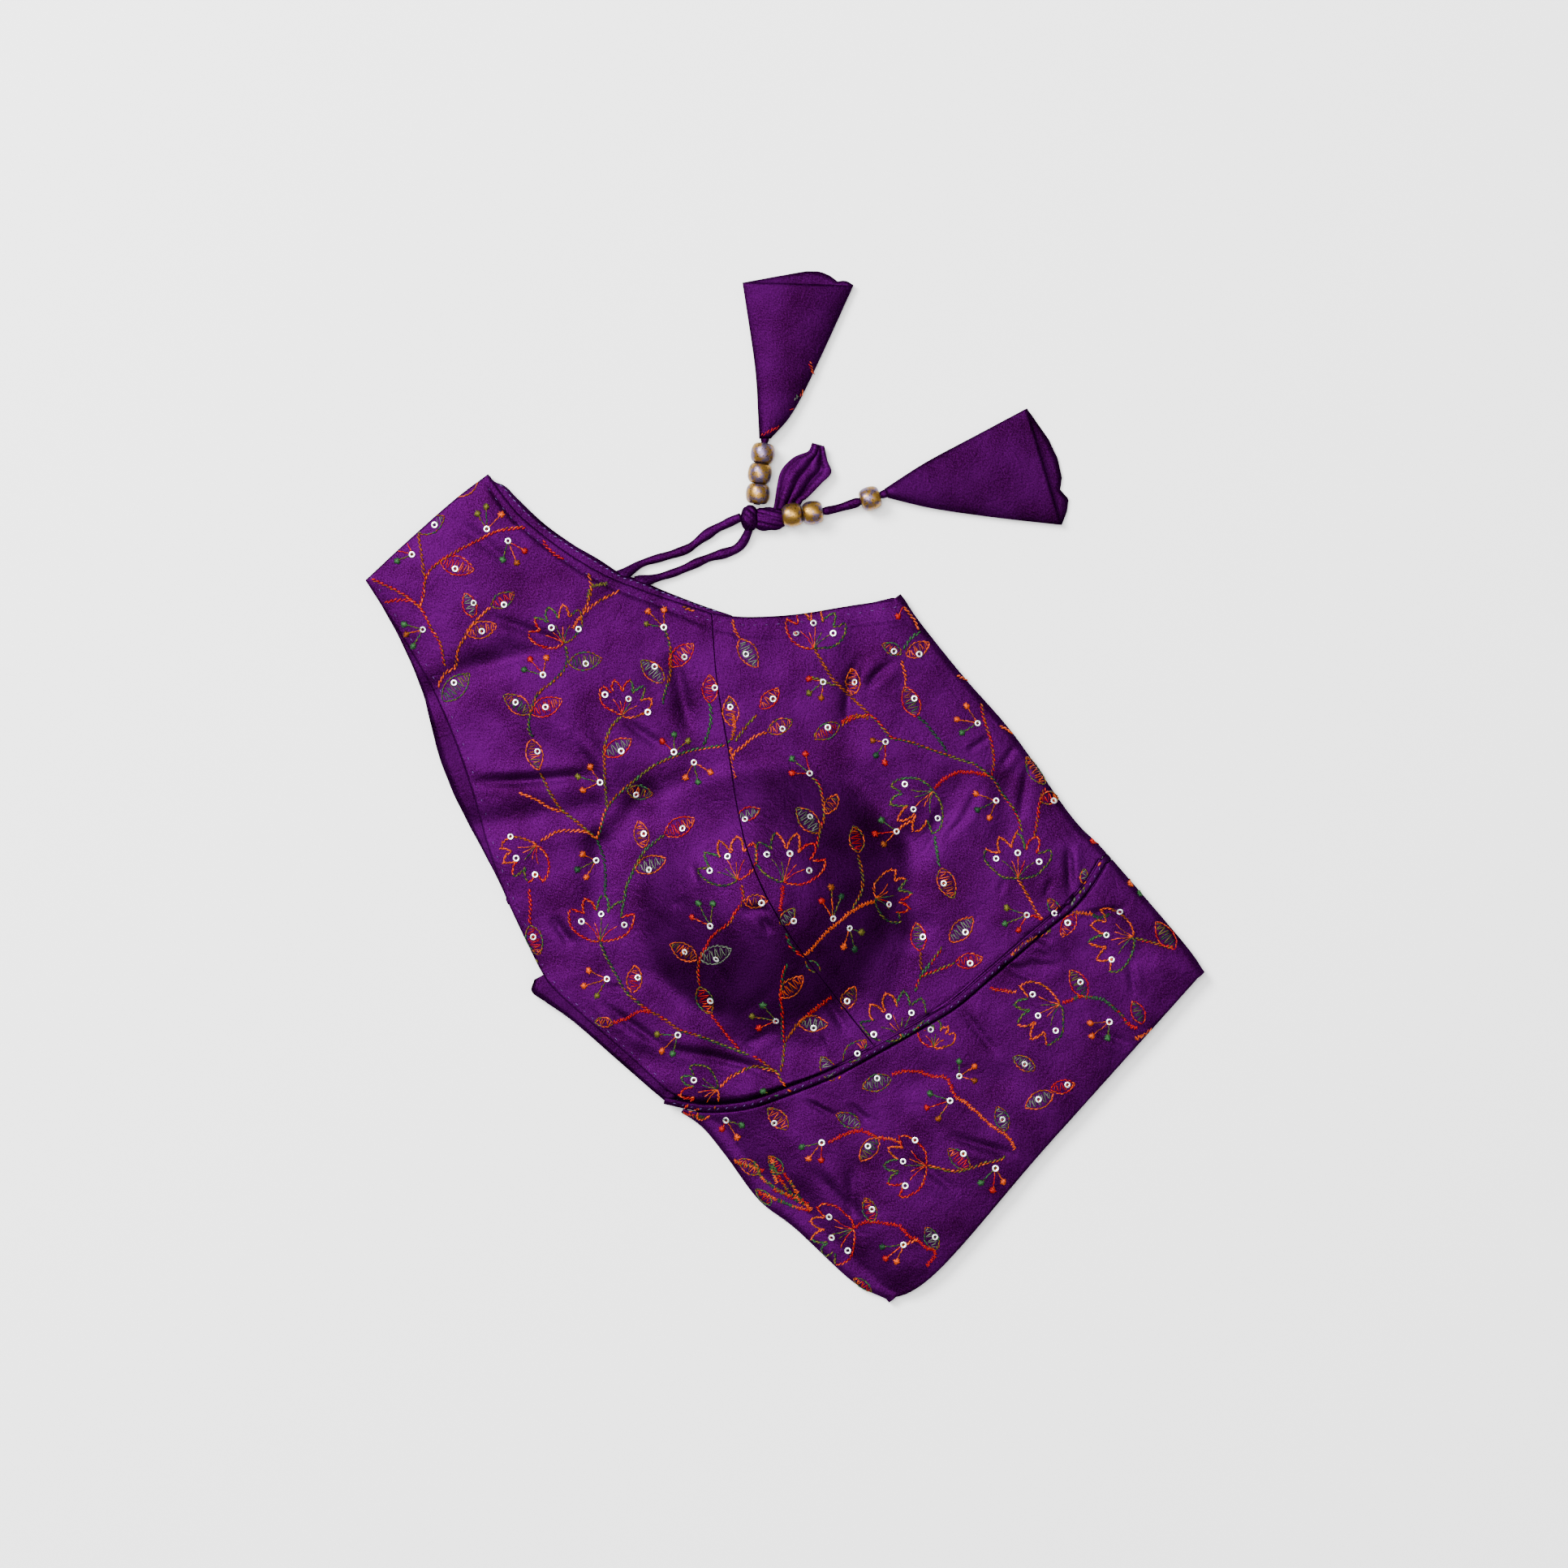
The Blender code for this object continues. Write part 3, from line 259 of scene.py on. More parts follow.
def facingRise(plan):
    # the seam where the neck is faced: a fine groove with the faced rim a little fuller beside it
    gap, side, along = lineDistance(plan, neckSeam)
    full = np.clip(np.minimum(along, 1 - along) * facing["fade"], 0, 1)
    groove = np.exp(-(gap / facing["grooveWidth"]) ** 2)
    rim = np.exp(-((gap * -side - facing["rimAt"]) / facing["rimWidth"]) ** 2)
    return full * (facing["rim"] * rim - facing["groove"] * groove)


crumple = [(0.42, (21, 17), 3), (0.17, (8, 7), 4), (0.045, (3.1, 2.8), 5)]  # rise, cell size, seed


def clothHeight(plan):
    # edge height + pillow + cup + folds + creases + neck seam + a low crumple, in millimetres
    gap = lineDistance(plan, outline, closed=True)[0]
    height = pattern["edgeHeight"] + pattern["pillowRise"] * (1 - np.exp(-gap / pattern["pillowReach"]))
    fromCup = np.linalg.norm(plan - np.array(pattern["cupCentre"]), axis=-1) / pattern["cupRadius"]
    full = 1 - fromCup ** 2
    full = np.minimum((full + np.sqrt(full ** 2 + pattern["cupFoot"])) / 2, 1.0)    # its foot is eased
    height = height + pattern["cupRise"] * full ** pattern["cupPower"]
    for *ends, width, rise in folds:
        a = np.array(ends[:2], float)
        ab = np.array(ends[2:]) - a
        t = np.clip(((plan - a) @ ab) / (ab @ ab), 0.0, 1.0)
        across = plan - (a + t[..., None] * ab)
        height = height + rise * np.exp(-(across ** 2).sum(axis=-1) / width ** 2)
    height = height + creaseRise(plan) + facingRise(plan)
    for rise, cell, seed in crumple:
        height = height + rise * softNoise(plan, cell, seed)
    return height


rollForm = {"ease": 1.1, "most": 2.8}      # cloth per radian as a share of the radius, and radians turned


def foldTangent(down):
    # where the cloth starts to bend round the centre front fold
    return np.interp(down, curve["fold"][:, 1], curve["fold"][:, 0]) + pattern["roll"]


def sideTangent(down):
    # where the band starts to bend round its side
    return np.interp(down, curve["bandSide"][:, 1], curve["bandSide"][:, 0]) - pattern["roll"]


def layCloth(flat, lift=0.0, band=False):
    # flat cloth points laid on the blouse: past the fold's tangent they follow a half round under it
    roll = pattern["roll"]
    fold = foldTangent(flat[..., 1])
    over = np.clip((fold - flat[..., 0]) / (roll * rollForm["ease"]), 0.0, rollForm["most"])
    sense = np.full(over.shape, -1.0)
    start = fold
    if band:
        side = sideTangent(flat[..., 1])
        past = np.clip((flat[..., 0] - side) / (roll * rollForm["ease"]), 0.0, rollForm["most"])
        sense = np.where(past > over, 1.0, sense)
        start = np.where(past > over, side, start)
        over = np.maximum(over, past)
    out = np.where(over > 0, start, flat[..., 0])
    top = np.maximum(clothHeight(np.stack([out, flat[..., 1]], axis=-1)), pattern["lowest"]) + lift
    out = out + sense * (roll + lift) * np.sin(over)
    return world(np.stack([out, flat[..., 1]], axis=-1), top / 2 * (1 + np.cos(over)))


def world(plan, height):
    # plan points and heights in millimetres, as points in the part's frame in metres
    flat = planCentre - plan
    return np.concatenate([flat, np.asarray(height)[..., None]], axis=-1) * mm


# making meshes

def meshObject(name, points, faces, uv=None):
    mesh = bpy.data.meshes.new(name)
    faces = faces.tolist() if isinstance(faces, np.ndarray) else faces
    mesh.from_pydata(points.reshape(-1, 3).tolist(), [], faces)
    mesh.shade_smooth()
    if uv is not None:
        layer = mesh.uv_layers.new(name="plan")
        corner = np.empty(len(mesh.loops), dtype=np.int32)
        mesh.loops.foreach_get("vertex_index", corner)
        layer.data.foreach_set("uv", uv.reshape(-1, 2)[corner].ravel())
    made = bpy.data.objects.new(name, mesh)
    bpy.context.scene.collection.objects.link(made)
    return made


def gridFaces(rows, columns, closedAcross=False, flip=False):
    # quads of a grid of points stored row by row
    r = np.arange(rows - 1)[:, None]
    c = np.arange(columns if closedAcross else columns - 1)[None, :]
    d = (c + 1) % columns
    quads = np.stack([r * columns + c, (r + 1) * columns + c, (r + 1) * columns + d, r * columns + d],
                     axis=-1).reshape(-1, 4)
    return quads[:, ::-1] if flip else quads


def finishPiece(piece, material, slot, *nodes):
    piece.data.materials.clear()
    piece.data.materials.append(material)
    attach(piece, "root")
    if nodes:
        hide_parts(*nodes)
    return piece


def addWall(piece, thickness):
    wall = piece.modifiers.new("wall", "SOLIDIFY")
    wall.thickness = thickness * mm
    wall.offset = -1.0
    return piece


def tube(name, route, radii, flatness):
    # rings round a route, each an oval of its radius, closed at both ends
    sides = 14
    ahead = np.gradient(route, axis=0)
    ahead /= np.linalg.norm(ahead, axis=1)[:, None]
    up = np.array([0.0, 0.0, 1.0])
    across = np.cross(ahead, up)
    across /= np.linalg.norm(across, axis=1)[:, None] + 1e-12
    up = np.cross(across, ahead)
    turn = np.linspace(0, 2 * np.pi, sides, endpoint=False)[None, :]
    wide = np.cos(turn)[..., None] * across[:, None] + flatness * np.sin(turn)[..., None] * up[:, None]
    rings = route[:, None] + wide * np.asarray(radii)[:, None, None]
    length = np.concatenate([[0], np.cumsum(np.linalg.norm(np.diff(route, axis=0), axis=1))]) / mm
    uv = np.stack([np.broadcast_to(np.arange(sides) / sides * 12, rings.shape[:2]),
                   np.broadcast_to(length[:, None], rings.shape[:2])], axis=-1)
    points = np.vstack([rings.reshape(-1, 3), route[:1], route[-1:]])
    uv = np.vstack([uv.reshape(-1, 2), uv[0, :1], uv[-1, :1]])
    faces = gridFaces(len(route), sides, closedAcross=True).tolist()
    last = (len(route) - 1) * sides
    n = len(route) * sides
    faces += [[n, i, (i + 1) % sides] for i in range(sides)]
    faces += [[n + 1, last + (i + 1) % sides, last + i] for i in range(sides)]
    return meshObject(name, points, faces, uv)


def recalculate(piece):
    # turns all faces of a closed mesh outwards
    shape = bmesh.new()
    shape.from_mesh(piece.data)
    bmesh.ops.recalc_face_normals(shape, faces=shape.faces)
    shape.to_mesh(piece.data)
    shape.free()
    return piece


# finishes

def linear(code):
    # an sRGB hex value as a linear colour
    c = np.array([int(code[i:i + 2], 16) for i in (1, 3, 5)]) / 255
    c = np.where(c <= 0.04045, c / 12.92, ((c + 0.055) / 1.055) ** 2.4)
    return (*c.tolist(), 1.0)


def newMaterial(name):
    made = bpy.data.materials.new(name)
    made.use_nodes = True
    return made, made.node_tree, made.node_tree.nodes["Principled BSDF"]


def addNode(tree, kind, settings=(), **inputs):
    # a node with its settings, its inputs linked from sockets or set to values
    node = tree.nodes.new(kind)
    for key, value in dict(settings).items():
        setattr(node, key, value)
    return feed(tree, node, **inputs)


def feed(tree, node, **inputs):
    # links or sets a node's inputs, by name with _ for a space, or by number after a _
    for key, value in inputs.items():
        key = int(key[1:]) if key[0] == "_" else key.replace("_", " ")
        if isinstance(value, bpy.types.NodeSocket):
            tree.links.new(value, node.inputs[key])
        else:
            node.inputs[key].default_value = value
    return node


satinLook = {
    "dark": "#1A001A", "light": "#3B0044", "edge": "#32083A", "roughness": 0.56, "metallic": 1.0,
    "thread": 0.3,     # millimetres between the threads that show, twice the real spacing
    "bump": 0.25,
}


def satin(name, shade=1.0):
    # art silk satin: a smooth long float over a dull ground gives a broad gloss, broken by slubs; its colour
    # runs between dark and light violet by the slubs' own flecks and by broad clouds of painted shade and
    # highlight
    made, tree, shader = newMaterial(name)
    place = addNode(tree, "ShaderNodeUVMap", {"uv_map": "plan"}).outputs["UV"]
    slubs = []
    for angle in (38.0, -47.0):
        turned = addNode(tree, "ShaderNodeMapping", Vector=place, Rotation=(0, 0, math.radians(angle)),
                         Scale=(1 / satinLook["thread"], 1 / (satinLook["thread"] * 2.2), 1.0))
        slubs.append(addNode(tree, "ShaderNodeTexNoise", {"noise_dimensions": "2D"}, Vector=turned.outputs[0],
                             Scale=0.8, Detail=1.0).outputs[0])
    both = addNode(tree, "ShaderNodeMath", {"operation": "ADD"}, _0=slubs[0], _1=slubs[1])
    flat = {"noise_dimensions": "2D"}
    cloudy = addNode(tree, "ShaderNodeTexNoise", flat, Vector=place, Scale=0.05, Detail=2.0)
    # broad clouds of painted shade and highlight, added to the slubs' flecks to mix the two violets
    slubsAndPaintedSheen = addNode(tree, "ShaderNodeMath", {"operation": "MULTIPLY_ADD"}, _0=cloudy.outputs[0], _1=0.9,
                    _2=both.outputs[0])
    share = addNode(tree, "ShaderNodeMapRange", Value=slubsAndPaintedSheen.outputs[0], From_Min=1.1, From_Max=1.8)
    # a shade below 1 darkens both colours, giving a shaded copy of the same satin: painted shade
    dark, light = [(*(v * shade for v in linear(satinLook[key])[:3]), 1.0) for key in ("dark", "light")]
    mixed = addNode(tree, "ShaderNodeMix", {"data_type": "RGBA"}, _0=share.outputs[0], _6=dark, _7=light)
    rough = addNode(tree, "ShaderNodeMapRange", Value=cloudy.outputs[0],
                    To_Min=satinLook["roughness"] - 0.05, To_Max=satinLook["roughness"] + 0.08)
    crinkle = addNode(tree, "ShaderNodeTexNoise", flat, Vector=place, Scale=0.22, Detail=2.5, Distortion=1.2)
    soft = addNode(tree, "ShaderNodeBump", Strength=0.3, Distance=0.0009, Height=crinkle.outputs[0])
    bump = addNode(tree, "ShaderNodeBump", Strength=satinLook["bump"], Distance=0.0002,
                   Height=both.outputs[0], Normal=soft.outputs[0])
    feed(tree, shader, Base_Color=mixed.outputs[2], Roughness=rough.outputs[0], Normal=bump.outputs[0],
         Metallic=satinLook["metallic"], Specular_Tint=linear(satinLook["edge"]))
    return made


satinCloth = satin("violet_art_silk_satin")
# satinShade: the same satin darkened to 0.7, painted shade for the strips, piping and hidden layers below the
# panels' edges
satinShade = satin("violet_satin_turned_edge", 0.7)
cordCloth = satin("violet_satin_bias_cord", 0.9)
# satinRim: the same satin darkened to 0.95, a slight painted shade for the far neck facing
satinRim = satin("violet_satin_bias_facing", 0.95)
# satinCone: the same satin darkened to 0.7, painted shade on the cones
satinCone = satin("violet_satin_cone", 0.7)


def gilt():
    # antique gilt over plastic, tumbled: warm metal with lilac-grey patches and dark pits
    made, tree, shader = newMaterial("antique_gilt_plating")
    place = addNode(tree, "ShaderNodeTexCoord").outputs["Object"]
    patchNoise = addNode(tree, "ShaderNodeTexNoise", Vector=place, Scale=260.0, Detail=4.0, Roughness=0.65)
    patch = addNode(tree, "ShaderNodeValToRGB", Fac=patchNoise.outputs[0])
    for stop, (at, colour) in zip(patch.color_ramp.elements, ((0.46, "#866428"), (0.56, "#5E5068"))):
        stop.position, stop.color = at, linear(colour)
    fine = addNode(tree, "ShaderNodeTexNoise", Vector=place, Scale=1400.0, Detail=3.0)
    pits = addNode(tree, "ShaderNodeMapRange", Value=fine.outputs[0], From_Min=0.58, From_Max=0.66)
    pitted = addNode(tree, "ShaderNodeMix", {"data_type": "RGBA"}, _0=pits.outputs[0], _6=patch.outputs[0],
                     _7=linear("#2A1C0E"))
    rough = addNode(tree, "ShaderNodeMapRange", Value=fine.outputs[0], To_Min=0.22, To_Max=0.5)
    bump = addNode(tree, "ShaderNodeBump", Strength=0.4, Distance=0.0002, Height=patchNoise.outputs[0])
    feed(tree, shader, Base_Color=pitted.outputs[2], Roughness=rough.outputs[0], Normal=bump.outputs[0],
         Metallic=0.9)
    return made


giltPlating = gilt()

# camera, straight above, turned so that the shoulder is at the left

view = {"centre": (25.3, 10.95), "turn": -38.66, "distance": 2.5, "width": 0.6955, "aim": 0.008}
cameraData = bpy.data.cameras.new("camera")
cameraData.sensor_width = 36.0
cameraData.lens = 36.0 * view["distance"] / view["width"]
camera = bpy.data.objects.new("camera", cameraData)
camera.location = (view["centre"][0] * mm, view["centre"][1] * mm, view["aim"] + view["distance"])
camera.rotation_euler = (0.0, 0.0, math.radians(view["turn"]))
bpy.context.scene.collection.objects.link(camera)
bpy.context.scene.camera = camera

# ties, knot, beads and cones

ties = {
    "radius": 1.9,
    "long": [(94.6, 72.0, 4.4), (91.0, 72.4, 4.1), (88.35, 72.6, 3.6), (84.0, 73.0, 2.6),
             (80.3, 73.9, 2.1), (75.6, 75.8, 2.0), (70.9, 77.8, 2.0),
             (65.8, 79.8, 2.0), (60.8, 81.2, 2.0), (54.1, 81.3, 2.0), (47.4, 81.8, 2.1), (42.5, 82.9, 2.4),
             (38.6, 83.8, 3.2), (34.6, 84.9, 4.3)],
    "short": [(89.4, 78.9, 4.4), (86.0, 80.3, 4.1), (83.2, 81.55, 3.6), (79.0, 83.3, 2.6),
              (73.4, 85.5, 2.1), (67.7, 87.2, 2.0), (62.0, 88.6, 2.0),
              (56.4, 90.3, 2.0), (50.9, 92.6, 2.0), (45.8, 94.4, 2.0), (42.0, 94.4, 2.1), (38.6, 93.2, 2.8),
              (35.3, 91.5, 3.9)],
    "upper": [(25.8, 85.05, 5.2), (22.3, 81.6, 5.4), (16.0, 75.1, 5.4), (9.4, 69.0, 5.4), (5.0, 64.85, 4.8),
              (1.6, 61.0, 4.4), (-4.0, 53.6, 4.0)],
    "right": [(20.8, 95.8, 5.0), (16.3, 98.5, 5.4), (8.6, 103.4, 5.4), (4.6, 105.8, 5.1), (-0.6, 108.4, 3.8),
              (-6.4, 110.8, 3.8), (-10.8, 112.5, 5.1), (-15.3, 114.4, 5.4), (-21.9, 116.85, 4.8),
              (-29.0, 119.6, 4.3), (-42.0, 125.0, 3.9)],
    "upperBeads": [(22.3, 81.6, 5.4), (16.0, 75.1, 5.4), (9.4, 69.0, 5.4)],
    "rightBeads": [(16.3, 98.5, 5.4), (8.6, 103.4, 5.4), (-15.3, 114.4, 5.4)],
    "steps": 90, "wander": 0.07, "flatness": 0.8,
    "flare": 0.75, "flareReach": 7.0,       # the wide end at the neck strip
    "swell": 0.28, "swellAt": 66, "swellReach": 8.0,
    "squeeze": 0.4, "squeezeReach": 5.2,    # inside a bead
    "hiddenFrom": 66, "hiddenSize": 0.7,    # inside a cone
    "beadRadius": 5.36, "beadLength": 9.0, "beadBore": 1.75, "beadSides": 40, "beadRound": 0.55,
    "beadDent": 0.008,
}


def placed(points):
    # points as out, down and height in millimetres, in the part's frame
    p = np.asarray(points, dtype=float)
    return world(p[..., :2], p[..., 2])


def routeLength(route):
    return float(np.linalg.norm(np.diff(route, axis=0), axis=1).sum())


def tie(name, key, node, farEnd, beads=()):
    # a bias-cut tie: a slightly flattened tube, uneven along its length, squeezed inside a bead
    route = placed(smoothCurve(ties[key], ties["steps"]))
    step = np.arange(len(route))
    uneven = np.sin(step * 0.35 + len(key)), np.sin(step * 0.16 + 1)
    radii = ties["radius"] * mm * (1 + ties["wander"] * uneven[0] + ties["wander"] * uneven[1])
    if farEnd == "knot":
        radii *= (1 + ties["flare"] * np.exp(-(step / ties["flareReach"]) ** 2)
                  + ties["swell"] * np.exp(-((step - ties["swellAt"]) / ties["swellReach"]) ** 2))
    for bead in beads:
        near = np.linalg.norm(route - placed([bead])[0], axis=1) / mm
        radii *= 1 - ties["squeeze"] * np.exp(-(near / ties["squeezeReach"]) ** 6)
    if farEnd == "fitting":
        radii *= np.where(step > ties["hiddenFrom"], ties["hiddenSize"], 1.0)
    made = finishPiece(tube(name, route, radii, ties["flatness"]), cordCloth, "cord_cloth", node)


def beadMesh(name, centre, route, seed):
    # a barrel turned round its bore: radius = bore + (full - bore) * sin(angle) ^ beadRound
    angle = np.linspace(0, np.pi, 22)
    bore, full, half = ties["beadBore"], ties["beadRadius"], ties["beadLength"] / 2
    out = bore + (full - bore) * np.sin(angle) ** ties["beadRound"]
    high = -half * np.cos(angle)
    inside = np.linspace(half * 0.8, -half * 0.8, 5)
    out = np.concatenate([out, np.full(5, bore)])
    high = np.concatenate([high, inside])
    sides = ties["beadSides"]
    turn = np.linspace(0, 2 * np.pi, sides, endpoint=False)
    dents = 1 + ties["beadDent"] * np.sin(3 * turn + seed)[None, :] * np.sin(high)[:, None]
    ring = np.stack([out[:, None] * np.cos(turn) * dents, out[:, None] * np.sin(turn) * dents,
                     np.broadcast_to(high[:, None], (len(out), sides))], axis=-1) * mm
    spot = placed([centre])[0]
    at = np.linalg.norm(route - spot, axis=1).argmin()
    ahead = Vector(route[min(at + 3, len(route) - 1)] - route[max(at - 3, 0)])
    turned = np.array(ahead.to_track_quat("Z", "Y").to_matrix())
    points = ring @ turned.T + spot
    faces = gridFaces(len(out), sides, closedAcross=True)
    wrap = np.arange(sides)
    last = (len(out) - 1) * sides
    closing = np.stack([last + wrap, wrap, (wrap + 1) % sides, last + (wrap + 1) % sides], axis=-1)
    return recalculate(meshObject(name, points, np.vstack([faces, closing])))


def beadsOn(kind, route):
    made = []
    for number, centre in enumerate(ties[kind + "Beads"], start=1):
        bead = beadMesh("%sBead%d" % (kind, number), centre, route, number * 2.1)
        made.append(finishPiece(bead, giltPlating, "gilt", "%s_bead_%d" % (kind, number)))
    return made


cones = {
    "upper": [((6.6, 62.8), (2.4, 66.0), 4.6), ((0.3, 54.1), (-11.0, 63.5), 3.6),
              ((-12.1, 36.3), (-29.3, 55.6), 3.2), ((-31.0, 3.9), (-68.6, 35.9), 3.2)],
    "right": [((-23.0, 114.9), (-21.6, 119.1), 4.6), ((-44.3, 117.1), (-34.2, 135.1), 3.4),
              ((-68.4, 121.5), (-53.0, 155.2), 3.2), ((-94.9, 126.5), (-74.3, 176.6), 3.2)],
    "upperMouth": ([0, 0.15, 0.35, 0.55, 0.68, 0.78, 0.86, 0.93, 1],
                   [0, 1.9, 4.2, 6.2, 6.3, 4.4, 1.6, 2.4, 0.4]),
    "rightMouth": ([0, 0.12, 0.28, 0.45, 0.62, 0.73, 0.8, 0.9, 1],
                   [0, 2.4, 5.6, 7.0, 6.4, 3.6, 6.6, 4.2, 0.2]),
    "halfHeight": 3.1, "wall": 1.3, "edge": 2.1, "ripple": 0.35,
    "rows": 46, "sides": 56, "closedRows": 9, "bulgeFrom": 0.8,
}


def coneMesh(name, table, mouth, seed):
    # flattened rings between the cone's two edges; the lower layer bulges past the straight upper mouth
    rows, sides = cones["rows"], cones["sides"]
    one = smoothCurve([row[0] for row in table], rows)
    other = smoothCurve([row[1] for row in table], rows)
    share = np.linspace(0, 1, rows + 1)
    middle = np.interp(share, np.linspace(0, 1, len(table)), [row[2] for row in table])
    turn = np.linspace(0, 2 * np.pi, sides, endpoint=False)
    centre = np.concatenate([(planCentre - (one + other) / 2), middle[:, None]], axis=1)
    half = np.concatenate([-(one - other) / 2, np.zeros((rows + 1, 1))], axis=1)
    width = np.linalg.norm(half, axis=1)
    tall = np.minimum(cones["halfHeight"], width * 0.9)
    up = np.array([0.0, 0.0, 1.0])
    wave = np.sin(turn * 2 + seed)[None, :] * np.sin(share * 5 + seed)[:, None]
    ripple = cones["ripple"] * wave * share[:, None]
    lift = tall[:, None] * np.sin(turn)[None, :] + ripple * (np.sin(turn) > 0)[None, :]
    outer = centre[:, None] + half[:, None] * np.cos(turn)[None, :, None] + up * lift[..., None]
    slim = half * ((width - cones["edge"]) / width)[:, None]
    inner = centre[:, None] + slim[:, None] * np.cos(turn)[None, :, None]
    inner = inner + up * (lift - cones["wall"] * np.sin(turn)[None, :])[..., None]
    axis = (outer[-1].mean(axis=0) - outer[0].mean(axis=0)) * [1, 1, 0]
    axis /= np.linalg.norm(axis)
    low = np.where(np.sin(turn) < 0.05, np.interp((1 - np.cos(turn)) / 2, *mouth), 0.0)
    ease = np.clip((share - cones["bulgeFrom"]) / (1 - cones["bulgeFrom"]), 0, 1)[:, None] ** 2
    outer = outer + axis * (ease * low)[..., None]
    inner = inner + axis * (ease * low)[..., None]
    rings = np.concatenate([outer, inner[cones["closedRows"]:][::-1]])
    cap = rings[0].mean(axis=0), rings[-1].mean(axis=0)
    faces = gridFaces(len(rings), sides, closedAcross=True).tolist()
    n = rings.shape[0] * sides
    last = n - sides
    faces += [[n, i, (i + 1) % sides] for i in range(sides)]
    faces += [[n + 1, last + (i + 1) % sides, last + i] for i in range(sides)]
    points = np.vstack([rings.reshape(-1, 3), cap]) * mm
    return recalculate(meshObject(name, points, faces, points[:, :2] / mm))


# both cones take the satin darkened to 0.7: painted shade
upperCone = finishPiece(coneMesh("upperCone", cones["upper"], cones["upperMouth"], 0.6), satinCone,
                        "satin", "upper_cone")
rightCone = finishPiece(coneMesh("rightCone", cones["right"], cones["rightMouth"], 2.4), satinCone,
                        "satin", "right_cone")
tie("longTie", "long", "neck_cord_long", "knot")
tie("shortTie", "short", "neck_cord_short", "knot")
upperBeads = beadsOn("upper", placed(smoothCurve(ties["upper"], ties["steps"])))
rightBeads = beadsOn("right", placed(smoothCurve(ties["right"], ties["steps"])))
tie("upperString", "upper", "upper_string", "fitting", ties["upperBeads"])
tie("rightString", "right", "right_string", "fitting", ties["rightBeads"])


knotShape = {  # centre, half length across the picture, half width and half height, turns of cloth
    "wrap": ((31.9, 87.7, 4.6), (4.0, 5.9, 4.5), 2),
    "loop": ((25.2, 93.6, 4.2), (7.6, 5.3, 3.4), 4),
}


def knotPiece():
    # the knot: a wrap across and a broad flat loop along, each a squared ball with grooves between its turns
    rings = []
    rows, sides = 44, 64
    turn = math.radians(-38.7)
    spin = np.array([[math.cos(turn), -math.sin(turn), 0], [math.sin(turn), math.cos(turn), 0], [0, 0, 1]])
    for key, (centre, size, count) in knotShape.items():
        u = np.linspace(0, 2 * np.pi, sides, endpoint=False)[None, :]
        v = np.linspace(0.03, np.pi - 0.03, rows)[:, None]
        power = 0.75 if key == "loop" else 0.9
        square = lambda a: np.sign(a) * np.abs(a) ** power
        wide = square(np.sin(v))
        ball = np.stack([square(np.cos(v)) * size[0] * np.ones_like(u), wide * np.cos(u) * size[1],
                         wide * np.sin(u) * size[2]], axis=-1)
        bent = ball[..., 1] + (0.9 * ball[..., 0] if key == "wrap" else 0.25 * ball[..., 0])
        groove = 1 - 0.13 * np.abs(np.cos(bent * count * 0.33 + 0.6)) ** 6
        ball = ball * np.stack([np.ones_like(groove), groove ** 0.5, groove], axis=-1)
        if key == "loop":
            ball[..., 1] *= 1 + 0.1 * ball[..., 0] / size[0] * -1
        rings.append((ball @ spin.T) * mm + placed([centre])[0])
    points = np.concatenate(rings)
    one = gridFaces(rows, sides, closedAcross=True).tolist()
    one.append(list(range(sides)))
    one.append(list(range((rows - 1) * sides, rows * sides))[::-1])
    faces = one + [[k + rows * sides for k in face] for face in one]
    return recalculate(meshObject("knot", points, faces, points[..., :2] / mm))


finishPiece(knotPiece(), cordCloth, "cord_cloth", "cord_knot", "cord_flat_loop")

tailTable = [  # left edge, right edge and height, from the knot to the tip
    ((21.5, 91.6), (12.2, 97.4), 4.6), ((18.4, 89.0), (8.4, 96.0), 5.4), ((13.8, 84.7), (5.5, 96.4), 5.0),
    ((7.9, 80.2), (-2.6, 95.5), 4.4), ((0.0, 79.1), (-8.8, 94.5), 3.8), ((-6.6, 81.2), (-10.6, 89.5), 3.6),
    ((-11.0, 79.4), (-13.4, 83.0), 3.4),
]


def tailPiece():
    # the tie's flared end: a leaf of cloth with one soft fold along it
    rows, columns = 50, 33
    left = smoothCurve([row[0] for row in tailTable], rows)
    right = smoothCurve([row[1] for row in tailTable], rows)
    across = np.linspace(0, 1, columns)
    plan = left[:, None] * (1 - across[None, :, None]) + right[:, None] * across[None, :, None]
    height = np.interp(np.linspace(0, 1, rows + 1), np.linspace(0, 1, len(tailTable)),
                       [row[2] for row in tailTable])
    height = height[:, None] + 1.0 * np.sin(across * 2 * np.pi)[None, :] + 0.5 * np.cos(across * 21)[None, :]
    return addWall(meshObject("tail", world(plan, height), gridFaces(rows + 1, columns), plan), 1.1)


finishPiece(tailPiece(), cordCloth, "cord_cloth", "cord_tail")
print("ties, beads and cones made")

# cloth panels


def shares(count, total):
    # even shares from 0 to 1, with extra fine steps at both ends; total is the length in millimetres
    fine = np.array([0.25, 0.5, 0.9, 1.4]) / total
    inner = np.linspace(0, 1, count + 1)
    return np.unique(np.concatenate([inner, fine, 1 - fine, [0.0, 1.0]]))


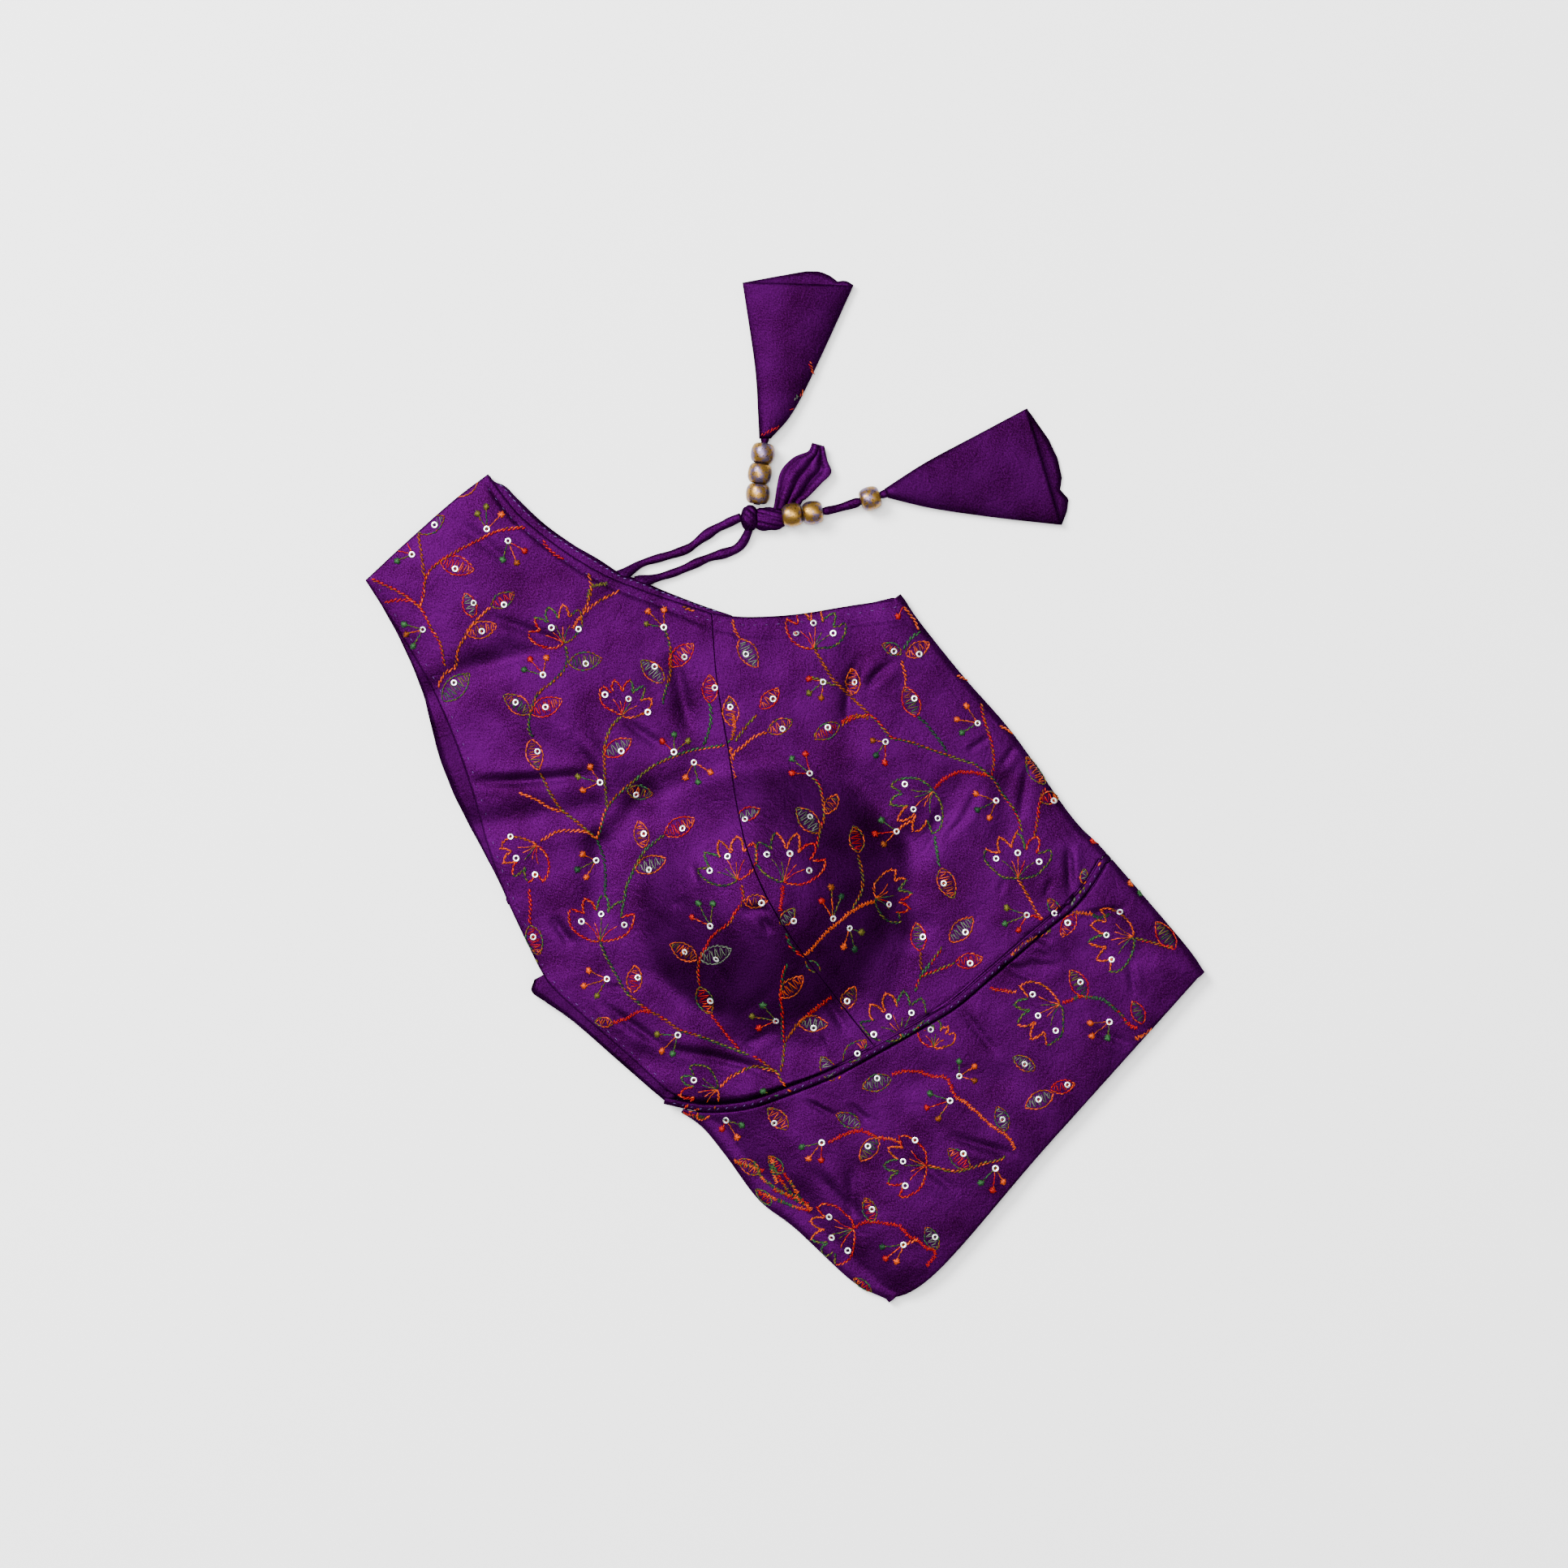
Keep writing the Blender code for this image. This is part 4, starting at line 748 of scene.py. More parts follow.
def coonsGrid(top, bottom, left, right, u, v):
    # a grid of plan points between four edges, rows down and columns across
    top, bottom = readRows(top, u), readRows(bottom, u)
    left, right = readRows(left, v), readRows(right, v)
    u, v = u[None, :, None], v[:, None, None]
    across = (1 - u) * left[:, None] + u * right[:, None]
    down = (1 - v) * top[None] + v * bottom[None]
    corners = (1 - v) * ((1 - u) * top[0] + u * top[-1]) + v * ((1 - u) * bottom[0] + u * bottom[-1])
    return across + down - corners


def lipDrop(plan, edges):
    # near a turned or sewn edge the cloth rounds over by the lip's radius
    drop = np.zeros(plan.shape[:-1])
    for number, line in enumerate(edges):
        gap = lineDistance(plan, line[::4])[0]
        r = pattern["lip"] if number != 2 else pattern["seamLip"]
        drop = np.maximum(drop, r - np.sqrt(r ** 2 - (r - np.minimum(gap, r)) ** 2))
    return drop


rollTurns = np.radians([12, 25, 38, 51, 64, 77, 90, 103, 116, 130, 145, 160])
rollSteps = rollTurns * pattern["roll"] * rollForm["ease"]


def addRoll(plan, sense):
    # columns of cloth that go on past the last one, round a rolled edge
    more = plan[:, -1:] + sense * np.stack([rollSteps, np.zeros(len(rollSteps))], axis=-1)[None]
    return np.concatenate([plan, more], axis=1)


panelForm = {
    "clear": 0.15,                      # above the floor
    "cornerRows": 6, "cornerClear": 1.75,
    "matchDown": 118.0,                 # the armhole's point level with the top of the princess seam
    "shortSteps": 600, "upperSteps": 1200, "longSteps": 1700, "bandSteps": 900,
    "sideGrid": (112, 226), "centreGrid": (84, 150), "bandGrid": (170, 72),     # cells across and down
    "parting": 0.02,                    # half the gap between the panels at the princess seam
}


def panel(name, plan, edges, node, band=False):
    points = layCloth(plan, band=band)
    points[..., 2] = np.maximum(points[..., 2] - lipDrop(plan, edges) * mm, panelForm["clear"] * mm)
    if band:    # its upper left corner turns too tightly for the wall to stay above the floor
        rows = panelForm["cornerRows"]
        points[:rows, :, 2] = np.maximum(points[:rows, :, 2], panelForm["cornerClear"] * mm)
    made = meshObject(name, points, gridFaces(*plan.shape[:2]), plan)
    finishPiece(made, satinCloth, "satin", node)
    return addWall(made, pattern["wall"])


seam = curve["bandSeam"]
seam = seam[seam[:, 0] >= foldTangent(seam[:, 1])]
meet = np.linalg.norm(seam - np.array(pattern["bandSeam"][5]), axis=1).argmin()
seamRoom = pattern["pipingWidth"] / 2 + 0.35


def shifted(line, distance):
    return line + leftNormals(line) * distance


def sidePanelPlan():
    edge = joined(curve["armhole"], curve["sideSeam"])
    match = np.abs(edge[:, 1] - panelForm["matchDown"]).argmin()
    short, first, second = (panelForm[key] for key in ("shortSteps", "upperSteps", "longSteps"))
    upper = seam[:meet + 1]
    upper = upper[upper[:, 0] <= pattern["sideSeam"][-1][0]]
    bottom = shifted(cutEvenly(upper, short), seamRoom)
    left = joined(cutEvenly(edge[:match + 1], first), cutEvenly(edge[match:], second))
    right = joined(cutEvenly(curve["neckSlant"], first),
                   shifted(cutEvenly(curve["princess"], second), -panelForm["parting"]))
    left[-1], right[-1] = bottom[0], bottom[-1]
    top = cutEvenly(curve["shoulder"], short)
    across, down = panelForm["sideGrid"]
    plan = coonsGrid(top, bottom, left, right, shares(across, 110), shares(down, 300))
    return plan, [top, bottom, right, left, curve["neckSlant"]]


def centrePanelPlan():
    neck = curve["neckFront"]
    neck = neck[neck[:, 0] >= foldTangent(neck[:, 1])]
    short, second = panelForm["shortSteps"], panelForm["longSteps"]
    top = cutEvenly(neck, short)
    bottom = shifted(cutEvenly(seam[meet:], short), seamRoom)
    left = shifted(cutEvenly(curve["princess"], second), panelForm["parting"])
    down = np.linspace(top[-1, 1], bottom[-1, 1], second + 1)
    right = np.column_stack([foldTangent(down), down])
    top[0], left[-1] = left[0], bottom[0]
    across, down = panelForm["centreGrid"]
    plan = coonsGrid(top, bottom, left, right, shares(across, 100), shares(down, 190))
    return addRoll(plan, -1), [top, bottom, left]


def bandPlan():
    short, wide = panelForm["shortSteps"], panelForm["bandSteps"]
    below = shifted(cutEvenly(seam, wide), -seamRoom)
    side = curve["bandSide"] - [pattern["roll"], 0.0]
    below = below[below[:, 0] <= side[0, 0]]
    hem = curve["hem"]
    hem = hem[(hem[:, 0] >= foldTangent(hem[:, 1])) & (hem[:, 0] <= side[-1, 0])]
    top, bottom = cutEvenly(below, wide), cutEvenly(hem, wide)
    inside = side[(side[:, 1] > top[0, 1] + 4) & (side[:, 1] < bottom[0, 1] - 2)]
    left = cutEvenly(np.vstack([top[:1], inside, bottom[:1]]), short)
    down = np.linspace(top[-1, 1], bottom[-1, 1], short + 1)
    right = np.column_stack([foldTangent(down), down])
    across, down = panelForm["bandGrid"]
    plan = coonsGrid(top, bottom, left, right, shares(across, 205), shares(down, 85))
    plan = addRoll(plan, -1)
    return addRoll(plan[:, ::-1], 1)[:, ::-1], [top, bottom]


def layPanels():
    made = {}
    sidePlan, sideEdges = sidePanelPlan()
    made["side"] = panel("sidePanel", sidePlan, sideEdges, "front_side_panel")
    centrePlan, centreEdges = centrePanelPlan()
    made["centre"] = panel("centrePanel", centrePlan, centreEdges, "front_centre_panel")
    waistPlan, waistEdges = bandPlan()
    made["band"] = panel("waistBand", waistPlan, waistEdges, "waist_band", band=True)
    return made, {"side": sidePlan, "centre": centrePlan, "band": waistPlan}


panels, plans = layPanels()


piping = {"steps": 300, "columns": 13, "rise": 0.9, "share": 0.98, "sunk": 0.35, "clear": 1.3, "wall": 1.0}


def pipingPiece():
    # a narrow turned strip over the band seam, its top a low round
    middle = cutEvenly(seam, piping["steps"])
    share = np.linspace(-1, 1, piping["columns"])
    plan = middle[:, None] - leftNormals(middle)[:, None] * share[None, :, None] * pattern["pipingWidth"] / 2
    rise = piping["rise"] * np.sqrt(1 - (share * piping["share"]) ** 2)
    over = np.stack([rollSteps, np.zeros(len(rollSteps))], -1)[:, None]
    plan = np.concatenate([plan, plan[-1:] - over], axis=0)
    points = layCloth(plan)
    points[..., 2] += (rise[None, :] - piping["sunk"]) * mm
    points[..., 2] = np.maximum(points[..., 2], piping["clear"] * mm)
    made = meshObject("bandPiping", points, gridFaces(*plan.shape[:2], flip=True), plan)
    return addWall(made, piping["wall"])


# the band piping takes the satin darkened to 0.7: painted shade
finishPiece(pipingPiece(), satinShade, "satin_dark", "band_piping")


def nearestOn(points, *names):
    line = np.vstack([smoothCurve(pattern[name], 2000) for name in names])
    gaps = np.linalg.norm(points[:, None] - line[None], axis=2)
    return line[gaps.argmin(axis=1)]


stripForm = {"tuck": 0.4, "below": 0.75, "flat": 0.6, "slope": 0.5, "bend": 0.42, "back": 3.5, "clear": 0.1}


def edgeStrip(name, inner, outer, material, slot, node, flip):
    # a layer below the panel's edge: flat for a share of its width, then round and under
    towards = outer - inner
    width = np.linalg.norm(towards, axis=1)[:, None]
    towards = towards / np.maximum(width, 1e-6)
    start = inner - towards * stripForm["tuck"]
    width = width + stripForm["tuck"]
    top = (clothHeight(inner) - stripForm["below"])[:, None]
    level, bend = stripForm["flat"], stripForm["bend"]
    flat = np.linspace(0, level, 8)[None, :]
    angle = np.radians(np.arange(8, 165, 8))[None, :]
    under = angle > np.pi / 2
    back = width - np.minimum(width, stripForm["back"]) * (1 - np.sin(angle))
    out = width * (level + (1 - level) * np.sin(angle))
    reach = np.concatenate([width * flat, np.where(under, back, out)], axis=1)
    low, upper = top * bend * (1 + np.cos(angle)), top * bend + (top * (1 - bend) - 0.3) * np.cos(angle)
    high = np.concatenate([top - stripForm["slope"] * flat, np.where(under, low, upper)], axis=1)
    plan = start[:, None] + towards[:, None] * reach[..., None]
    points = world(plan, np.maximum(high, pattern["stripWall"] + stripForm["clear"]))
    made = meshObject(name, points, gridFaces(*plan.shape[:2], flip=flip), plan)
    addWall(made, pattern["stripWall"])
    return finishPiece(made, material, slot, node)


strips = {  # the visible outer edge of each layer below, carried on to where it meets the panel's edge
    "armhole": [
        (183.6, 14.0), (184.9, 21.8), (186.3, 29.9), (188.1, 37.5), (190.0, 45.2), (192.3, 52.6),
        (194.8, 59.8), (197.9, 66.5), (201.0, 73.3), (204.1, 80.0), (206.9, 87.0), (209.2, 94.4),
        (211.4, 101.8), (213.1, 109.7), (214.8, 117.6), (216.2, 125.7), (217.7, 133.5), (219.2, 141.4),
        (222.4, 155.0)],
    "side": pattern["backSide"][1:-1] + [(225.2, 256.0), (223.8, 263.0), (222.2, 268.0), (216.5, 269.5)],
    "neck": [(110.2, 1.0), (110.3, 4.0)] + pattern["farNeck"][:-2] + [
        (91.6, 72.1), (87.6, 77.4), (83.6, 85.6), (73.6, 103.0), (65.0, 116.5)],
}
armholeOuter = smoothCurve(strips["armhole"], 110)
# the back armhole and back side strips take the satin darkened to 0.7: painted shade
edgeStrip("backArmhole", nearestOn(armholeOuter, "armhole"), armholeOuter, satinShade, "satin_dark",
          "back_armhole_edge", True)
sideOuter = smoothCurve(strips["side"], 90)
edgeStrip("backSide", nearestOn(sideOuter, "sideSeam"), sideOuter, satinShade, "satin",
          "back_side_panel", True)
neckOuter = smoothCurve(strips["neck"], 130)
neckInner = nearestOn(neckOuter, "neckSlant", "neckFront")
# the far neck facing takes the satin darkened to 0.95: painted shade
edgeStrip("farNeckFacing", neckInner, neckOuter, satinRim, "satin_dark", "far_neck_facing", False)


stack = {
    "sideSteps": 190, "endSteps": (40, 110), "rows": 41, "layers": 3.0,
    "inset": 2.7, "bulge": 1.2, "rolledInset": 5.8, "rolledBulge": 1.9, "lip": 0.8,
    "under": 2.3, "top": 7.0,       # the cap's depth below the cloth, and the highest it goes
    "middle": 160,                  # out from the fold: beyond it the edge counts as the left one
    # stretches of the edge that roll under: from and to along the length, and whether on the left
    "rolled": [(37, 136, True), (176, 400, True), (-1, 100, False), (150, 400, False)],
    "hem": (371, 4, 200),           # down from here, and between these two, the edge is stacked
}


def hiddenLayers():
    # a closed rim round the blouse with stacked, rounded layer edges, and caps ruled from side to side
    sides, ends, rows = stack["sideSteps"], stack["endSteps"], stack["rows"]
    left = cutEvenly(leftOutline, sides)
    right = cutEvenly(rightOutline, sides)
    top = smoothCurve(pattern["shoulder"], ends[0])
    bottom = smoothCurve(pattern["hem"], ends[1])
    left[0], left[-1], right[0], right[-1] = top[0], bottom[0], top[-1], bottom[-1]
    rim = joined(top[::-1], left, bottom, right[::-1])[:-1]
    rolled = np.zeros(len(rim))
    onLeft = rim[:, 0] > stack["middle"]
    for low, high, side in stack["rolled"]:
        rolled[(rim[:, 1] > low) & (rim[:, 1] < high) & (onLeft == side)] = 1.0
    hem = (rim[:, 1] > stack["hem"][0]) & (rim[:, 0] > stack["hem"][1]) & (rim[:, 0] < stack["hem"][2])
    rolled[(np.arange(len(rim)) < ends[0]) | hem] = 0.0
    box = np.ones(9) / 9
    rolled = np.convolve(np.concatenate([rolled[-4:], rolled, rolled[:4]]), box, mode="valid")
    ahead = np.roll(rim, -1, axis=0) - np.roll(rim, 1, axis=0)
    ahead /= np.linalg.norm(ahead, axis=1)[:, None]
    into = np.column_stack([-ahead[:, 1], ahead[:, 0]])
    level = np.linspace(1.0, 0.0, rows)
    layers = 0.5 + 0.5 * np.abs(np.sin(level * np.pi * stack["layers"])) ** 0.5
    stacked = stack["inset"] - stack["bulge"] * layers
    rolledIn = stack["rolledInset"] - stack["rolledBulge"] * np.sin(np.pi * np.clip(level, 0, 1)) ** 0.6
    inset = stacked[:, None] * (1 - rolled) + rolledIn[:, None] * rolled
    inset[0] = inset[1] + stack["lip"]
    plan = rim[None] + into[None] * inset[..., None]
    topHeight = np.minimum(clothHeight(plan[0]) - stack["under"], stack["top"])
    points = world(plan, level[:, None] * topHeight[None, :])
    n = len(rim)
    faces = gridFaces(len(level), n, closedAcross=True).tolist()
    row = np.arange(sides)
    cap = np.stack([ends[0] + row, ends[0] + 1 + row, (n - row - 1) % n, (n - row) % n], axis=-1)
    corner = ends[0] + sides
    tips = [list(range(ends[0] + 1)), list(range(corner, corner + ends[1] + 1))]
    for first, sense in ((0, -1), (n * (rows - 1), 1)):
        faces += [(face[::sense] + first).tolist() for face in cap]
        faces += [[k + first for k in tip[::sense]] for tip in tips]
    return recalculate(meshObject("hiddenLayers", points, faces, plan))


# the hidden layers take the satin darkened to 0.7: painted shade
finishPiece(hiddenLayers(), satinShade, "satin_dark", "hidden_layers")
print("cloth laid")

# embroidery: every stitch is a slim lens of thread, laid on the cloth

threads = {"o": "#B84200", "r": "#960800", "u": "#743400", "l": "#544E14", "g": "#264C28", "d": "#14341E",
           "y": "#565F50", "v": "#6A5290"}
sewing = {"step": 2.1, "width": 0.95, "spread": 0.55, "lift": 0.26, "low": 0.16, "fill": 0.4, "dot": 2.0}
leaves = [  # out and down of base and tip, the sequin, then outline and filling colours
    (151, 1, 137, 3, (143, 3), "ly"), (151, 17, 142, 30, (148, 24), "rr"),
    (155, 46, 151, 35, (151, 41), "ry"), (146, 47, 134, 49, (141, 50), "lr"),
    (162, 50, 149, 55, (156, 53), "oo"), (189, 66, 172, 64, (180, 63), "gg"),
    (135, 88, 122, 96, (129, 93), "ld"), (162, 95, 166, 81, (164, 87), "ul"),
    (162, 95, 147, 99, (155, 97), "rr"), (129, -3, 114, -1, (122, -1), "ol"),
    (169, 104, 175, 117, (170, 110), "ou"), (148, 130, 134, 132, (141, 133), "ry"),
    (150, 148, 142, 157, (148, 152), "lu"), (160, 173, 154, 162, (156, 168), "oo"),
    (149, 174, 134, 177, (141, 177), "rr"), (169, 178, 155, 183, (164, 182), "oy"),
    (97, 141, 89, 131, (91, 137), "rr"), (138, 321, 151, 316, (143, 317), "ly"),
    (86, 358, 90, 347, (88, 353), "uy"), (86, 371, 100, 368, (93, 369), "oy"),
    (86, 369, 76, 374, (79, 372), "rr"), (113, 371, 109, 360, (111, 366), "ly"),
    (136, 374, 138, 361, (134, 367), "lr"), (85, 167, 73, 170, (79, 170), "uo"),
    (58, 184, 71, 182, (63, 182), "lr"), (119, 188, 109, 192, (117, 191), "ry"),
    (95, 216, 96, 201, (94, 208), "uy"), (88, 211, 78, 208, None, "ou"), (87, 234, 81, 223, None, "ur"),
    (140, 219, 131, 225, (134, 224), "oo"), (134, 237, 124, 235, (128, 239), "uy"),
    (172, 226, 177, 213, (174, 220), "ou"), (171, 227, 157, 232, (165, 231), "yy"),
    (204, 220, 195, 211, (198, 216), "or"), (179, 236, 183, 249, (179, 244), "lr"),
    (221, 168, 226, 181, (223, 173), "lr"), (219, 225, 225, 219, None, "uo"),
    (154, 262, 140, 261, None, "oo"), (136, 284, 125, 279, (132, 282), "ou"),
    (155, 276, 145, 285, (151, 282), "oy"), (159, 306, 156, 294, (157, 301), "uy"),
    (150, 302, 136, 301, (143, 303), "lo"), (188, 310, 189, 297, (191, 304), "uo"),
    (162, 329, 167, 318, None, "ly"), (133, 264, 135, 256, None, "lu"),
    (17, 177, 21, 168, (19, 174), "lu"), (16, 179, 4, 181, (11, 182), "oo"),
    (45, 178, 38, 168, (41, 174), "oo"), (29, 203, 25, 189, (25, 196), "rl"),
    (10, 266, 0, 270, (5, 270), "ur"), (3, 262, 2, 247, None, "lo"),
    (63, 262, 67, 276, (66, 268), "uo"), (18, 307, 13, 302, None, "uy"),
    (35, 311, 34, 302, (36, 309), "lo"), (29, 315, 40, 319, (34, 316), "rr"),
    (4, 355, 3, 340, None, "rd"), (36, 372, 33, 361, None, "rd"), (48, 347, 46, 333, (46, 340), "rd"),
    (159, 338, 172, 341, (165, 338), "og"), (210, 318, 214, 307, None, "uo"),
    (202, 324, 202, 314, None, "lr"), (184, 366, 180, 355, (181, 361), "lr"),
    (170, 393, 167, 382, (167, 388), "ly"), (215, 332, 216, 322, None, "gr"),
    (205, 390, 207, 380, None, "lr"), (101, 117, 86, 116, (93, 118), "rr"),
    (107, 121, 109, 107, (106, 113), "uy"), (69, 127, 71, 142, (71, 134), "oy"),
    (96, 155, 88, 144, (91, 148), "ou"), (81, 157, 69, 155, (74, 157), "ro"),
    (93, 285, 86, 274, (88, 281), "rd"), (80, 290, 65, 288, (72, 291), "oy"),
    (84, 299, 73, 305, (79, 303), "rr"),
]
sprigs = [  # fork, then each dot with its colour
    ((126, 19), (125, 11, "l"), (120, 11, "l"), (117, 18, "o")),
    ((122, 29), (129, 34, "g"), (125, 39, "u"), (119, 37, "r")),
    ((159, 7), (166, 5, "g"), (164, 0, "r"), (157, 0, "r")),
    ((176, 36), (181, 29, "g"), (184, 39, "g"), (183, 33, "u")),
    ((147, 85), (147, 76, "r"), (141, 80, "o"), (152, 78, "g")),
    ((157, 138), (156, 130, "o"), (165, 136, "o"), (163, 130, "l")),
    ((123, 148), (124, 141, "r"), (118, 142, "g"), (115, 148, "l")),
    ((119, 157), (126, 160, "o"), (116, 165, "o"), (123, 165, "g")),
    ((180, 164), (183, 158, "o"), (188, 167, "o"), (189, 162, "d")),
    ((114, 339), (110, 334, "g"), (106, 340, "o"), (110, 345, "u")),
    ((124, 345), (129, 337, "g"), (134, 341, "r"), (133, 348, "u")),
    ((127, 381), (136, 382, "g"), (134, 388, "r"), (128, 388, "o")),
    ((82, 193), (78, 185, "r"), (84, 183, "g"), (88, 188, "r")),
    ((47, 203), (51, 199, "u"), (54, 205, "d"), (53, 210, "r")),
    ((68, 237), (70, 229, "g"), (76, 232, "r"), (76, 238, "u")),
    ((158, 218), (156, 207, "g"), (151, 211, "g"), (162, 210, "r")),
    ((114, 249), (113, 240, "r"), (106, 238, "u"), (105, 244, "d")),
    ((111, 257), (118, 262, "o"), (115, 266, "d"), (108, 262, "l")),
    ((209, 208), (213, 200, "o"), (219, 204, "o"), (217, 211, "l")),
    ((162, 269), (162, 260, "g"), (169, 261, "l"), (170, 267, "r")),
    ((200, 247), (207, 241, "l"), (210, 248, "o"), (207, 252, "g")),
    ((10, 222), (9, 213, "o"), (16, 215, "o"), (18, 221, "g")),
    ((25, 254), (30, 246, "o"), (34, 252, "d"), (32, 258, "o")),
    ((46, 302), (51, 294, "l"), (56, 299, "g"), (53, 305, "r")),
    ((47, 362), (54, 357, "o"), (57, 362, "o"), (52, 367, "g")),
    ((207, 290), (211, 292, "r"), (203, 296, "g"), (208, 299, "o")),
    ((180, 324), (188, 320, "g"), (189, 326, "o"), (185, 330, "r")),
    ((180, 382), (188, 377, "d"), (190, 382, "r"), (187, 386, "o")),
    ((92, 102), (93, 92, "o"), (87, 96, "o"), (97, 96, "l")),
    ((52, 165), (56, 160, "r"), (60, 165, "l"), (57, 170, "u")), ((182, 296), (186, 290, "g")),
    ((3, 161), (8, 163, "r")), ((-1, 298), (2, 295, "r")), ((-2, 318), (1, 320, "o")),
    ((-3, 325), (0, 326, "g")),
]
lotuses = [  # base, middle tip, outline colours, sequins
    ((131, 80), (127, 63), "loggrr", [(131, 71), (122, 79)]),
    ((131, 121), (118, 111), "oggrrr", [(131, 109), (124, 117), (121, 127)]),
    ((196, 142), (213, 146), "oordrr", [(205, 152), (207, 141), (203, 132)]),
    ((201, 193), (187, 178), "rggrr", [(193, 184), (188, 194), (202, 181)]),
    ((136, 210), (132, 191), "roogd", [(133, 199), (143, 199)]),
    ((121, 223), (103, 210), "rroodd", [(119, 209), (111, 215), (109, 226)]),
    ((94, 254), (80, 263), "drrgoo", [(91, 260)]),
    ((44, 233), (64, 234), "ggoog", [(52, 223), (56, 234), (50, 244)]),
    ((39, 287), (26, 271), "drgood", [(41, 274), (32, 278), (27, 287)]),
    ((46, 151), (33, 137), "dgoorr", [(39, 142), (35, 151), (48, 141)]),
    ((201, 277), (216, 268), "dgrroo", [(207, 267)]),
    ((150, 361), (165, 349), "roggrr", [(147, 349), (157, 353), (163, 362)]),
    ((193, 363), (211, 355), "roogdr", [(198, 352), (203, 360), (201, 369)]),
    ((123, 310), (117, 290), "ggood", [(122, 299), (113, 304), (132, 301)]),
    ((115, 322), (106, 314), "ooggr", [(111, 315)]),
    ((15, 339), (32, 329), "oogoog", [(13, 327), (24, 331), (29, 341)]),
    ((59, 342), (79, 337), "oggood", [(66, 331), (70, 340), (68, 350)]),
]
